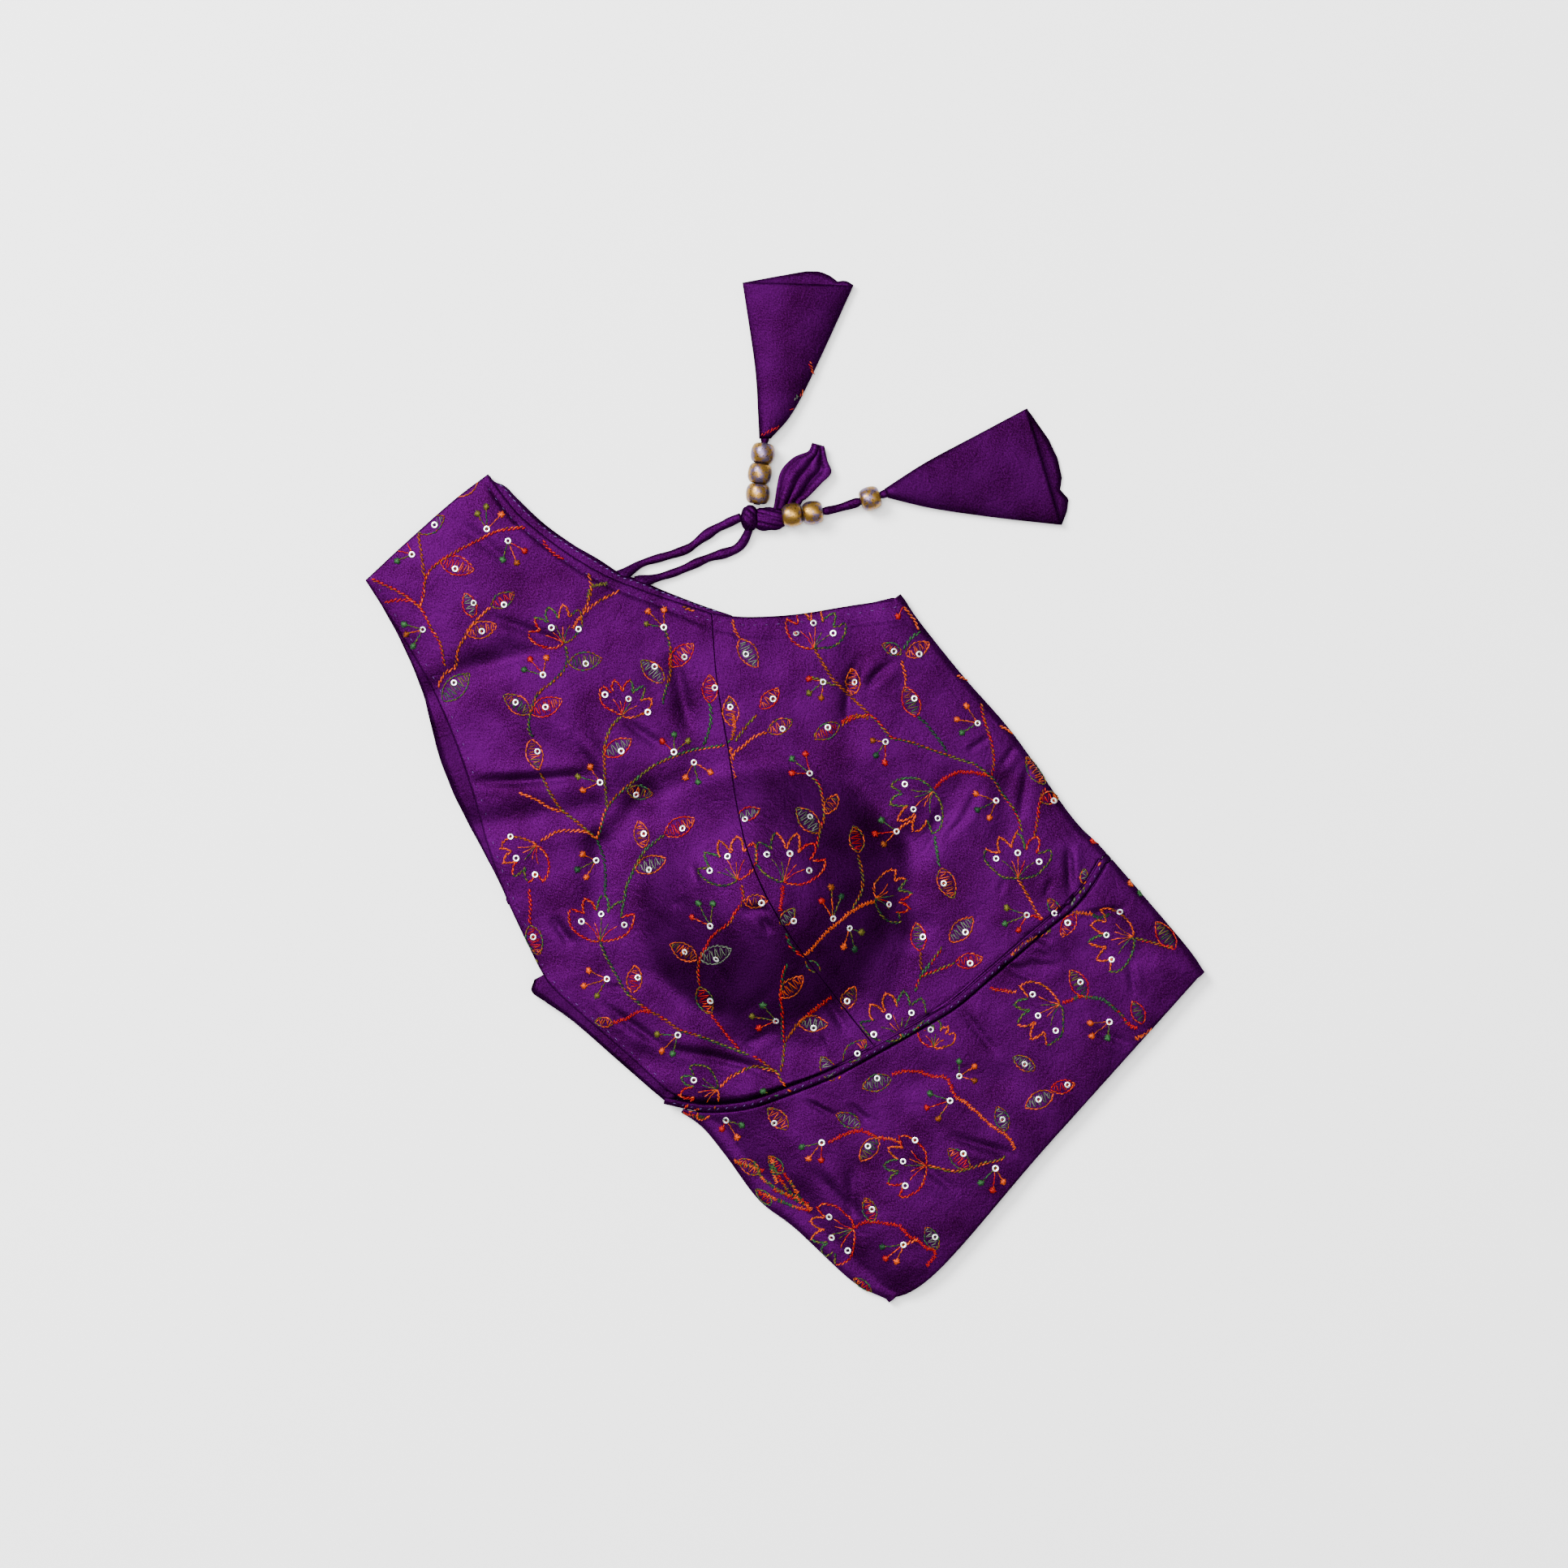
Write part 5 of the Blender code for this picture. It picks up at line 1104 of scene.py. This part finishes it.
stems = [  # colours, 1 for a close zigzag, then out and down of each point
    ("rrou", 0, 180, 4, 175, 14, 172, 22, 171, 30, 173, 38, 174, 46, 179, 55),
    ("r", 0, 182, 16, 176, 19, 172, 23),
    ("rruo", 0, 112, 29, 122, 23, 134, 20, 144, 18, 154, 17, 161, 19, 166, 24, 171, 27),
    ("u", 0, 151, 1, 156, 10, 161, 18),
    ("ouo", 0, 146, 47, 158, 48, 163, 50, 170, 53, 175, 58, 180, 57, 187, 60),
    ("r", 0, 110, 38, 110, 45, 108, 51), ("uo", 0, 103, 62, 106, 68, 111, 72, 117, 75),
    ("l", 1, 110, 71, 106, 68, 99, 71), ("ouo", 0, 116, 75, 108, 75, 97, 77),
    ("lud", 0, 92, 102, 95, 110, 101, 118, 107, 123, 114, 128), ("o", 0, 66, 118, 68, 122, 69, 127),
    ("uo", 0, 80, 100, 77, 105), ("rgl", 0, 106, 298, 100, 294, 92, 292, 84, 290),
    ("rl", 0, 100, 294, 90, 297, 84, 299), ("u", 0, 93, 285, 98, 292), ("o", 1, 117, 75, 124, 77),
    ("lud", 0, 131, 81, 136, 88, 145, 90, 154, 90, 162, 95, 167, 100, 168, 104),
    ("ul", 0, 175, 118, 177, 127, 178, 137, 176, 145, 174, 157),
    ("o", 0, 188, 119, 184, 126, 181, 134, 178, 138),
    ("lul", 0, 131, 121, 138, 122, 146, 127, 149, 131, 155, 139, 162, 149),
    ("oulgg", 0, 174, 157, 168, 153, 162, 149, 152, 147, 143, 147, 135, 147, 126, 149, 115, 153, 105,
      159, 100, 160),
    ("g", 0, 111, 154, 102, 148, 97, 141), ("lg", 0, 149, 174, 160, 174, 168, 177, 176, 181, 182, 186),
    ("d", 0, 174, 157, 176, 163, 179, 169, 187, 179),
    ("o", 0, 194, 142, 186, 143, 180, 147, 175, 152, 174, 157), ("ou", 1, 92, 151, 95, 156, 100, 160),
    ("o", 1, 102, 162, 106, 167, 109, 174), ("ul", 0, 84, 158, 91, 159, 99, 161),
    ("o", 0, 85, 167, 90, 165, 97, 165, 103, 165, 105, 167),
    ("ddurull", 0, 201, 193, 203, 199, 204, 205, 205, 211, 206, 218, 205, 224, 203, 231, 200, 239, 198,
      246, 193, 253, 189, 260, 185, 267, 181, 274),
    ("r", 1, 203, 231, 207, 228, 213, 227, 219, 225),
    ("urr", 0, 136, 212, 138, 216, 141, 219, 146, 220, 150, 222, 156, 222, 161, 222, 165, 224, 170, 226,
      174, 229, 177, 233, 179, 236),
    ("r", 0, 183, 249, 183, 255, 183, 261, 183, 269), ("r", 1, 122, 224, 125, 227, 130, 232),
    ("dr", 0, 134, 241, 136, 247, 135, 254),
    ("rul", 0, 101, 221, 95, 216, 89, 212, 85, 206, 82, 200, 82, 195),
    ("ul", 0, 88, 234, 90, 239, 93, 244, 97, 248, 102, 250, 105, 251),
    ("o", 1, 95, 255, 100, 253, 106, 252, 112, 252, 119, 252, 125, 253, 131, 254, 135, 254),
    ("drr", 0, 142, 252, 147, 255, 151, 259, 154, 262, 157, 267, 160, 271, 163, 275, 166, 279),
    ("rru", 1, 136, 276, 145, 276, 151, 276, 155, 276), ("u", 0, 155, 276, 162, 278, 165, 279),
    ("lu", 0, 165, 279, 169, 283, 172, 286, 175, 288),
    ("oulo", 0, 200, 277, 194, 276, 189, 277, 182, 279, 179, 283, 176, 287, 177, 292, 177, 298),
    ("o", 0, 151, 305, 155, 306, 157, 306), ("ru", 1, 57, 184, 51, 185, 46, 190),
    ("ru", 0, 45, 189, 49, 187, 55, 185, 58, 185),
    ("uu", 0, 46, 151, 47, 159, 48, 167, 47, 174, 46, 181, 45, 189),
    ("l", 0, 55, 160, 52, 164, 49, 170),
    ("ruulddl", 0, 45, 189, 44, 195, 44, 200, 44, 203, 40, 208, 36, 214, 33, 219, 30, 224, 26, 230, 22,
      236, 21, 241, 20, 247, 21, 253, 21, 259, 22, 266, 25, 272),
    ("r", 1, 43, 233, 38, 232, 32, 233, 28, 235, 24, 239, 21, 243),
    ("ur", 0, 3, 216, 6, 221, 8, 226, 10, 231, 13, 237, 17, 242, 20, 244),
    ("o", 0, 3, 229, 1, 232, 0, 236), ("dd", 0, 29, 203, 28, 208, 28, 214, 28, 220, 29, 224),
    ("o", 0, 19, 179, 22, 186, 25, 189), ("g", 0, 15, 176, 12, 175, 8, 174, 4, 175),
    ("o", 0, 3, 161, 3, 165, 3, 170, 5, 173), ("o", 0, 4, 200, 2, 202, 0, 205),
    ("ru", 0, 4, 263, 8, 265, 12, 268, 16, 272, 22, 277), ("g", 0, 56, 249, 59, 254, 63, 261),
    ("o", 0, 68, 237, 63, 237, 58, 238), ("uo", 0, 39, 286, 40, 293, 41, 299, 42, 303, 42, 308),
    ("ly", 0, 18, 308, 23, 309, 27, 310, 30, 312), ("r", 0, 42, 308, 43, 305, 45, 303),
    ("uo", 1, 30, 314, 28, 315, 25, 318, 23, 320), ("d", 1, 23, 320, 22, 323, 17, 325),
    ("lur", 0, 15, 340, 12, 344, 9, 348, 7, 351, 4, 354), ("ro", 1, 79, 317, 75, 322, 71, 326),
    ("o", 0, 8, 305, 3, 305), ("oul", 1, 63, 312, 55, 311, 47, 313, 42, 314),
    ("rgdr", 1, 58, 342, 54, 344, 50, 345, 49, 346, 44, 351, 42, 356, 41, 362, 41, 368, 39, 372),
    ("o", 1, 34, 376, 39, 376, 43, 375), ("r", 0, 211, 155, 215, 161, 221, 168),
    ("ru", 0, 180, 275, 178, 280, 177, 286),
    ("rro", 1, 178, 326, 172, 327, 166, 329, 162, 332, 159, 338, 155, 342, 153, 346),
    ("oul", 0, 150, 361, 146, 366, 142, 371, 136, 374, 130, 376, 124, 379, 120, 380),
    ("rroo", 1, 137, 320, 132, 322, 127, 326, 123, 332, 119, 336, 120, 341, 121, 345, 119, 350, 118,
      356, 117, 363, 115, 370, 114, 376, 115, 380),
    ("rr", 1, 193, 363, 189, 363, 184, 366, 180, 370, 176, 375, 176, 380, 174, 384, 173, 389, 171, 394,
      178, 396),
    ("o", 0, 173, 384, 177, 383, 181, 382), ("rlodr", 1, 202, 324, 202, 331, 203, 338, 202, 343),
    ("ogurdo", 1, 211, 319, 209, 327, 207, 333, 204, 339, 202, 345),
    ("rd", 1, 221, 275, 217, 280, 214, 283), ("l", 0, 228, 181, 231, 187),
    ("orgodr", 1, 216, 306, 212, 312, 208, 318), ("ogrudo", 1, 202, 315, 204, 322, 205, 330, 204, 338),
    ("rodgor", 1, 216, 324, 212, 331, 208, 338, 203, 345), ("go", 1, 204, 318, 207, 326),
    ("rgo", 1, 210, 327, 206, 334), ("gl", 1, 209, 312, 211, 320),
]
threadNames = list(threads)
nearColour = {"o": "ouo", "r": "rro", "u": "uol", "l": "lgu", "g": "gl", "d": "dl", "y": "y"}
chance = np.random.default_rng(21)
sewn = []        # rows of start, end, width, lift and colour number
sequinSpots = []


def sew(start, end, width, colours, lift=None):
    start, end = np.atleast_2d(start), np.atleast_2d(end)
    n = len(start)
    shake = chance.normal(0, 0.12, (n, 4))
    row = np.column_stack([start, end]) + shake
    sewn.append(np.column_stack([row, np.full(n, width) * chance.uniform(0.85, 1.15, n),
                                 np.full(n, sewing["lift"] if lift is None else lift), colours]))


def palette(code, count):
    # the thread's colours along a line of stitches, each colour in a run, with uneven ends
    at = (np.arange(count) + 0.5) / count * len(code) + chance.normal(0, 0.4, count)
    return np.array([threadNames.index(c) for c in code])[np.clip(at, 0, len(code) - 0.01).astype(int)]


def rope(points, code, step=None, width=None, spread=None):
    # stem stitch: two rows of slanted stitches, the second half a stitch behind the first
    line = smoothCurve(points, 60)
    count = max(2, int(round(routeLength(line) / (step or sewing["step"]))))
    reach = sewing["spread"] if spread is None else spread
    half = cutEvenly(line, 2 * count)
    normal = leftNormals(half) * reach
    wide = width or sewing["width"]
    for first, side, thick in ((0, 1, wide), (1, -1, wide * 0.72)):
        a, b = half[first:-2:2], half[first + 2::2]
        n = normal[first:-2:2]
        m = min(len(a), len(b))
        colours = palette(code if first == 0 else code[::-1], m)
        shift, slant = side * n[:m] * 0.5, n[:m] * 0.7
        sew(a[:m] + shift - slant, b[:m] + shift + slant, thick, colours)


def zigzag(points, code, step=0.7, reach=1.15, width=0.46):
    # close satin stitches slanting across a line, frayed at their ends
    line = smoothCurve(points, 60)
    count = max(4, int(round(routeLength(line) / step)))
    at = cutEvenly(line, count)
    side = np.where(np.arange(count + 1) % 2, 1.0, -1.0) * reach * chance.uniform(0.55, 1.3, count + 1)
    at = at + leftNormals(at) * side[:, None]
    sew(at[:-1], at[1:], width, palette(code, count), 0.34)


leafForm = {"bulge": 0.265, "zig": 0.23, "zigStep": 1.25, "cross": 0.18, "crossStep": 0.06, "edge": 0.64}
sprigForm = {"stem": 0.56, "spokes": 6, "spokeWidth": 0.8, "spokeLift": 0.5}


def addLeaf(*row):
    # two bulging sides in stem stitch, thin threads zigzag between them, and a sequin
    base, tip = np.array(row[:2], float), np.array(row[2:4], float)
    dot, (edge, fill) = row[4:]
    ahead = tip - base
    across = np.array([-ahead[1], ahead[0]])
    t = np.linspace(0, 1, 13)
    bulge = leafForm["bulge"] * np.sin(np.pi * t ** 0.9) ** 0.85
    for side in (-1, 1):
        line = base + t[:, None] * ahead + side * bulge[:, None] * across
        rope(line, nearColour[edge], step=2.0, width=leafForm["edge"], spread=0.22)
    length = np.linalg.norm(ahead)
    count = max(5, int(length / leafForm["zigStep"]))
    s = np.linspace(0.1, 0.93, count)
    wide = np.where(np.arange(count) % 2, 1.0, -1.0) * leafForm["zig"] * np.sin(np.pi * s ** 0.9) ** 0.8
    line = base + s[:, None] * ahead + wide[:, None] * across
    sew(line[:-1], line[1:], sewing["fill"], palette(nearColour[fill], count - 1), 0.3)
    s = s[1:-1:2]
    wide = leafForm["cross"] * np.sin(np.pi * s ** 0.9)
    aside = wide[:, None] * across
    sew(base + s[:, None] * ahead - aside, base + (s[:, None] + leafForm["crossStep"]) * ahead + aside,
        sewing["fill"] * 0.8, palette(nearColour[fill], len(s)), sewing["lift"])
    if dot:
        sequinSpots.append(dot)


def addSprig(fork, *dots):
    # short stems from a fork, each to a knot of stitches crossing at one place
    for x, y, colour in dots:
        end = np.array([x, y], float)
        rope([fork, end], nearColour[colour], step=2.2, width=sprigForm["stem"], spread=0.2)
        spokes = sprigForm["spokes"]
        turn = np.arange(spokes) * np.pi / spokes + chance.uniform(0, 1)
        spoke = np.stack([np.cos(turn), np.sin(turn)], -1) * sewing["dot"]
        spoke = spoke * chance.uniform(0.8, 1.05, spokes)[:, None]
        colours = np.full(spokes, threadNames.index(colour))
        sew(end - spoke, end + spoke, sprigForm["spokeWidth"], colours, sprigForm["spokeLift"])
    if len(dots) > 1:
        sequinSpots.append(tuple(fork))


lotusReach = 21.5       # of the tallest petals, in the flower's own units
lotusRays = [(-44, 11), (-22, 9.5), (0, 11.5), (20, 9), (42, 11.5)]     # angle and reach
lotusEdge = [  # angle from the flower's axis and reach, along each side of its five pointed petals
    [(-88, 3.5), (-80, 8), (-69, 13.5), (-57, 18), (-47, 20.5)], [(-47, 20.5), (-43, 17.5), (-36, 14.8)],
    [(-36, 14.8), (-31, 19), (-24, 21.5)], [(-24, 21.5), (-17, 18), (-12, 14)],
    [(-12, 14), (-7, 18.6), (0, 22)], [(0, 22), (7, 18.6), (12, 14)], [(12, 14), (17, 18), (24, 21.5)],
    [(24, 21.5), (31, 19), (36, 14.8)], [(36, 14.8), (43, 17.5), (47, 20.5)],
    [(47, 20.5), (57, 18), (69, 13.5), (80, 8), (88, 3.5)],
]


def addLotus(base, tip, code, dots):
    # the petals' edge in stem stitch, with stitched rays inside
    base = np.array(base, float)
    up = np.array(tip, float) - base
    scale = np.linalg.norm(up) / lotusReach
    across = np.array([-up[1], up[0]]) / np.linalg.norm(up)
    up = up / np.linalg.norm(up)

    def spot(angle, reach):
        angle = np.radians(angle)
        return base + scale * reach * (np.sin(angle) * across + np.cos(angle) * up)

    last = len(lotusEdge) - 1
    for number, piece in enumerate(lotusEdge):
        colour = code[min(int(number / (last + 1) * len(code)), len(code) - 1)]
        line = [spot(*p) for p in piece]
        line = np.array(line) + chance.normal(0, 0.3, (len(line), 2))
        if number in (0, last):
            line = np.vstack([base, line] if number == 0 else [line, base])
        rope(line, nearColour[colour], step=2.0, width=0.8, spread=0.38)
        if colour in "org" and 0 < number < last:
            zigzag(line, colour, step=0.8, reach=0.42, width=0.4)
    for angle, reach in lotusRays:
        colour = code[int((angle + 50) / 100 * len(code))]
        rope([base, spot(angle * 0.8, reach * 0.5), spot(angle, reach)], nearColour[colour],
             step=2.4, width=0.46, spread=0.08)
    sequinSpots.extend(dots)


for code, close, *points in stems:
    points = np.reshape(points, (-1, 2))
    (zigzag if close else rope)(points, code)
    if close:
        rope(points, code, width=0.5)
for add, rows in ((addLeaf, leaves), (addSprig, sprigs), (addLotus, lotuses)):
    for row in rows:
        add(*row)


def runningStitch(line, every, width, long=1.5, slant=0.0):
    # single spaced stitches in lilac along a line, each turned a little by the slant
    count = int(routeLength(line) / every)
    at = cutEvenly(line, count)[:-1]
    ahead = np.gradient(at, axis=0)
    ahead /= np.linalg.norm(ahead, axis=1)[:, None]
    ahead = ahead + slant * np.column_stack([-ahead[:, 1], ahead[:, 0]])
    sew(at, at + ahead * long, width, np.full(len(at), threadNames.index("v")), sewing["low"])


runningStitch(shifted(joined(curve["neckSlant"], curve["neckFront"]), -3.6), every=5.2, width=0.17)
runningStitch(shifted(curve["sideSeam"], 2.2), every=4.4, width=0.17)
runningStitch(shifted(curve["armhole"], 3.0), every=6.5, width=0.2)
runningStitch(shifted(curve["hem"], -2.4), every=6.5, width=0.26)
runningStitch(shifted(seam, -0.5), every=3.9, width=0.24, long=1.3, slant=0.45)
runningStitch(neckOuter * 0.55 + neckInner * 0.45, every=3.0, width=0.28, long=1.7, slant=0.2)


def insideLoop(points, loop):
    # whether each point lies inside a closed loop, from how often a ray crosses it
    x, y = points[:, :1], points[:, 1:]
    ax, ay = loop[:, 0], loop[:, 1]
    bx, by = np.roll(ax, -1), np.roll(ay, -1)
    crossed = ((ay > y) != (by > y)) & (x < (bx - ax) * (y - ay) / (by - ay + 1e-12) + ax)
    return crossed.sum(axis=1) % 2 == 1


def rimOf(plan):
    return np.vstack([plan[0, :-1], plan[:-1, -1], plan[-1, :0:-1], plan[:0:-1, 0]])[::2]


def clothUp(flat, lay, reach=0.5):
    # outward normals of the laid cloth at flat points
    du = lay(flat + [reach, 0]) - lay(flat - [reach, 0])
    dv = lay(flat + [0, reach]) - lay(flat - [0, reach])
    up = np.cross(du, dv)
    return up / np.linalg.norm(up, axis=-1)[..., None]


def threadMesh(name, rows, lay):
    # each stitch has two tips and three rings of four points between them, fourteen points in all
    corners = 14
    share = np.array([0.0, 0.2, 0.5, 0.8, 1.0])
    flat = rows[:, None, :2] * (1 - share[:, None]) + rows[:, None, 2:4] * share[:, None]
    spine = lay(flat)
    up = clothUp(flat[:, 2], lay)
    ahead = spine[:, -1] - spine[:, 0]
    ahead /= np.linalg.norm(ahead, axis=1)[:, None]
    across = np.cross(ahead, up)
    lift = rows[:, 5, None] * np.array([-0.3, 0.8, 1.0, 0.8, -0.3])
    spine = spine + up[:, None] * lift[..., None] * mm
    half = rows[:, 4, None, None] * np.array([0.38, 0.5, 0.38])[:, None] * mm
    side, rise, middle = across[:, None] * half, up[:, None] * half * 0.8, spine[:, 1:4]
    ring = np.stack([middle + side, middle + rise, middle - side, middle - rise], axis=2)
    n = len(rows)
    points = np.concatenate([spine[:, :1], ring.reshape(n, 12, 3), spine[:, 4:]], axis=1)
    k = np.arange(4)
    l = (k + 1) % 4
    quads = np.concatenate([np.stack([1 + 4 * r + k, 1 + 4 * r + l, 5 + 4 * r + l, 5 + 4 * r + k], -1)
                            for r in (0, 1)])
    fans = np.concatenate([np.stack([0 * k, 1 + l, 1 + k], -1), np.stack([9 + k, 9 + l, 13 + 0 * k], -1)])
    start = np.arange(n)[:, None, None] * corners
    faces = (quads + start).reshape(-1, 4).tolist() + (fans + start).reshape(-1, 3).tolist()
    made = meshObject(name, points, faces)
    colours = np.array([linear(threads[key]) for key in threadNames])[rows[:, 6].astype(int)]
    colours[:, :3] *= chance.uniform(0.5, 1.3, n)[:, None]
    layer = made.data.color_attributes.new("thread", "FLOAT_COLOR", "POINT")
    layer.data.foreach_set("color", np.repeat(colours, corners, axis=0).ravel())
    return made


def threadMaterial():
    # rayon embroidery thread, dyed in runs of colour and twisted, which gives a soft broken gloss
    made, tree, shader = newMaterial("variegated_rayon_thread")
    dye = addNode(tree, "ShaderNodeAttribute", {"attribute_name": "thread"})
    place = addNode(tree, "ShaderNodeTexCoord").outputs["Object"]
    twist = addNode(tree, "ShaderNodeTexNoise", Vector=place, Scale=3500.0, Detail=1.0)
    share = addNode(tree, "ShaderNodeMapRange", Value=twist.outputs[0], To_Min=0.55, To_Max=1.25)
    shaded = addNode(tree, "ShaderNodeVectorMath", {"operation": "SCALE"}, _0=dye.outputs["Color"],
                     Scale=share.outputs[0])
    bump = addNode(tree, "ShaderNodeBump", Strength=0.3, Distance=0.0002, Height=twist.outputs[0])
    feed(tree, shader, Base_Color=shaded.outputs[0], Normal=bump.outputs[0], Roughness=0.5, Metallic=0.5,
         Specular_IOR_Level=0.2)
    return made


def sequinMesh(name, spots, lay):
    # flat rings, about 2.9 mm across with a 1.4 mm hole, each tilted a little on its thread
    spots = np.array(spots, float)
    n = len(spots)
    up = clothUp(spots, lay) + chance.normal(0, 0.07, (n, 3))
    up /= np.linalg.norm(up, axis=1)[:, None]
    across = np.cross(up, [0.0, 1.0, 0.0])
    across /= np.linalg.norm(across, axis=1)[:, None]
    ahead = np.cross(up, across)
    sides, rings = 18, 6
    turn = np.linspace(0, 2 * np.pi, sides, endpoint=False)
    size = chance.uniform(0.94, 1.06, n)[:, None, None, None]
    reach = np.array([0.7, 0.78, 1.33, 1.43, 1.33, 0.78])
    high = np.array([0.0, 0.12, 0.16, 0.06, -0.04, -0.1])
    cosine, sine = np.cos(turn)[:, None, None], np.sin(turn)[:, None, None]
    wheel = cosine * across[:, None, None] + sine * ahead[:, None, None]
    ring = wheel * reach[:, None] * size + up[:, None, None] * high[:, None]
    points = lay(spots)[:, None, None] + (ring + up[:, None, None] * 0.55) * mm
    faces = gridFaces(sides, rings, closedAcross=True)
    wrap = np.arange(rings)
    last = (sides - 1) * rings
    closing = np.stack([last + wrap, wrap, (wrap + 1) % rings, last + (wrap + 1) % rings], -1)
    every = np.vstack([faces, closing])[None] + np.arange(n)[:, None, None] * sides * rings
    made = meshObject(name, points, every.reshape(-1, 4))
    # some sequins darkened at random: painted shade
    shade = np.repeat(chance.choice([1.0, 1.0, 0.85, 0.5], n), sides * rings)
    layer = made.data.color_attributes.new("tone", "FLOAT_COLOR", "POINT")
    layer.data.foreach_set("color", np.column_stack([shade, shade, shade, np.ones(len(shade))]).ravel())
    return recalculate(made)


def sequinMaterial():
    # punched PET film with a silver face: bright, with some darkened at random as painted shade
    made, tree, shader = newMaterial("silver_pet_sequin")
    tone = addNode(tree, "ShaderNodeAttribute", {"attribute_name": "tone"})
    feed(tree, shader, Base_Color=tone.outputs["Color"], Metallic=0.7, Roughness=0.24, Coat_Weight=0.3)
    return made


def onPiece(piece):
    # lays flat points on the upper side of a piece, by the heights of its four nearest upper points
    spots = np.array([v.co[:] for v in piece.data.vertices])
    spots = spots[spots[:, 2] > 4.4 * mm]

    def lay(flat):
        place = world(flat.reshape(-1, 2), np.zeros(flat.reshape(-1, 2).shape[0]))
        gap = np.linalg.norm(place[:, None, :2] - spots[None, :, :2], axis=2)
        near = np.argsort(gap, axis=1)[:, :4]
        weight = 1 / (np.take_along_axis(gap, near, 1) + 2e-4)
        place[:, 2] = (spots[near, 2] * weight).sum(axis=1) / weight.sum(axis=1)
        return place.reshape(*flat.shape[:-1], 3)
    return lay


def sewPanels():
    # the centre thread of each sequin, then every stitch goes to the panel that it lies on
    spots = np.array(sequinSpots, float)
    turn = chance.uniform(0, 2 * np.pi, len(spots))
    spoke = np.column_stack([np.cos(turn), np.sin(turn)])
    sew(spots - spoke * 0.4, spots + spoke * 1.7, 0.42, chance.integers(0, 6, len(spots)), 0.8)
    rows = np.vstack(sewn)
    dyed, film = threadMaterial(), sequinMaterial()
    for key in panels:
        rim = rimOf(plans[key])
        held = insideLoop(rows[:, :2], rim) & insideLoop(rows[:, 2:4], rim)
        lay = lambda flat: layCloth(flat, band=key == "band")
        finishPiece(threadMesh(key + "Embroidery", rows[held], lay), dyed, "satin")
        kept = insideLoop(spots + [1.2, 0], rim) & insideLoop(spots - [1.2, 0], rim)
        finishPiece(sequinMesh(key + "Sequins", spots[kept], lay), film, "satin")
        print(key, "stitches", int(held.sum()), "sequins", int(kept.sum()))
    strip = np.vstack([neckInner, neckOuter[::-1]])
    held = insideLoop(rows[:, :2], strip) & insideLoop(rows[:, 2:4], strip)
    rib = np.vstack([shifted(seam, 1.3), shifted(seam, -1.3)[::-1]])
    crossing = insideLoop(rows[:, :2], rib) & insideLoop(rows[:, 2:4], rib)
    for name, kept, lift in (("pipingStitches", crossing, 0.5), ("neckStitches", held, -0.75)):
        finishPiece(threadMesh(name, rows[kept], lambda flat: layCloth(flat, lift)), dyed, "satin_dark")
    sewn.clear()
    for line, code in coneThreads:
        rope(line, code, step=1.6, width=0.5)
    finishPiece(threadMesh("coneStitches", np.vstack(sewn), onPiece(upperCone)), dyed, "satin")


coneThreads = [([(-32.2, 49.9), (-29.9, 55.9)], "or"),
               ([(-14.4, 57.0), (-18.1, 55.8), (-18.0, 59.4)], "dgy"),
               ([(-16.0, 59.7), (-19.6, 58.0)], "yg"),
               ([(-19.0, 59.7), (-22.5, 58.4)], "ro"),
               ([(-7.7, 56.7), (-13.3, 62.4)], "rrr"),
               ([(5.2, 62.5), (-3.9, 64.3)], "rrr")]
sewPanels()

# floor and light

floorData = bpy.data.meshes.new("floor")
floorData.from_pydata([(-3, -3, 0), (3, -3, 0), (3, 3, 0), (-3, 3, 0)], [], [(0, 1, 2, 3)])
floor = bpy.data.objects.new("floor", floorData)
floor.location = (0, 0, -0.0002)
bpy.context.scene.collection.objects.link(floor)
paper, paperTree, paperShader = newMaterial("matt_white_paper")
feed(paperTree, paperShader, Base_Color=linear("#FCFCFC"), Roughness=0.9, Specular_IOR_Level=0.2)
floorData.materials.append(paper)


def areaLight(name, place, size, energy):
    # a round soft box aimed at the middle of the blouse
    data = bpy.data.lights.new(name, "AREA")
    data.shape = "DISK"
    data.size = size
    data.energy = energy
    lamp = bpy.data.objects.new(name, data)
    lamp.location = place
    lamp.rotation_euler = (-Vector(place)).to_track_quat("-Z", "Y").to_euler()
    bpy.context.scene.collection.objects.link(lamp)


for row in (("key", (-0.3, 1.9, 2.1), 1.3, 185), ("top", (-0.1, 0.45, 3.0), 1.8, 128),
            ("fill", (0.5, -0.9, 2.6), 1.8, 16)):
    areaLight(*row)
worldLight = bpy.data.worlds.new("studio")
bpy.context.scene.world = worldLight
worldLight.use_nodes = True
sky = worldLight.node_tree.nodes["Background"].inputs
sky["Color"].default_value = (1, 1, 1, 1)
sky["Strength"].default_value = 0.5
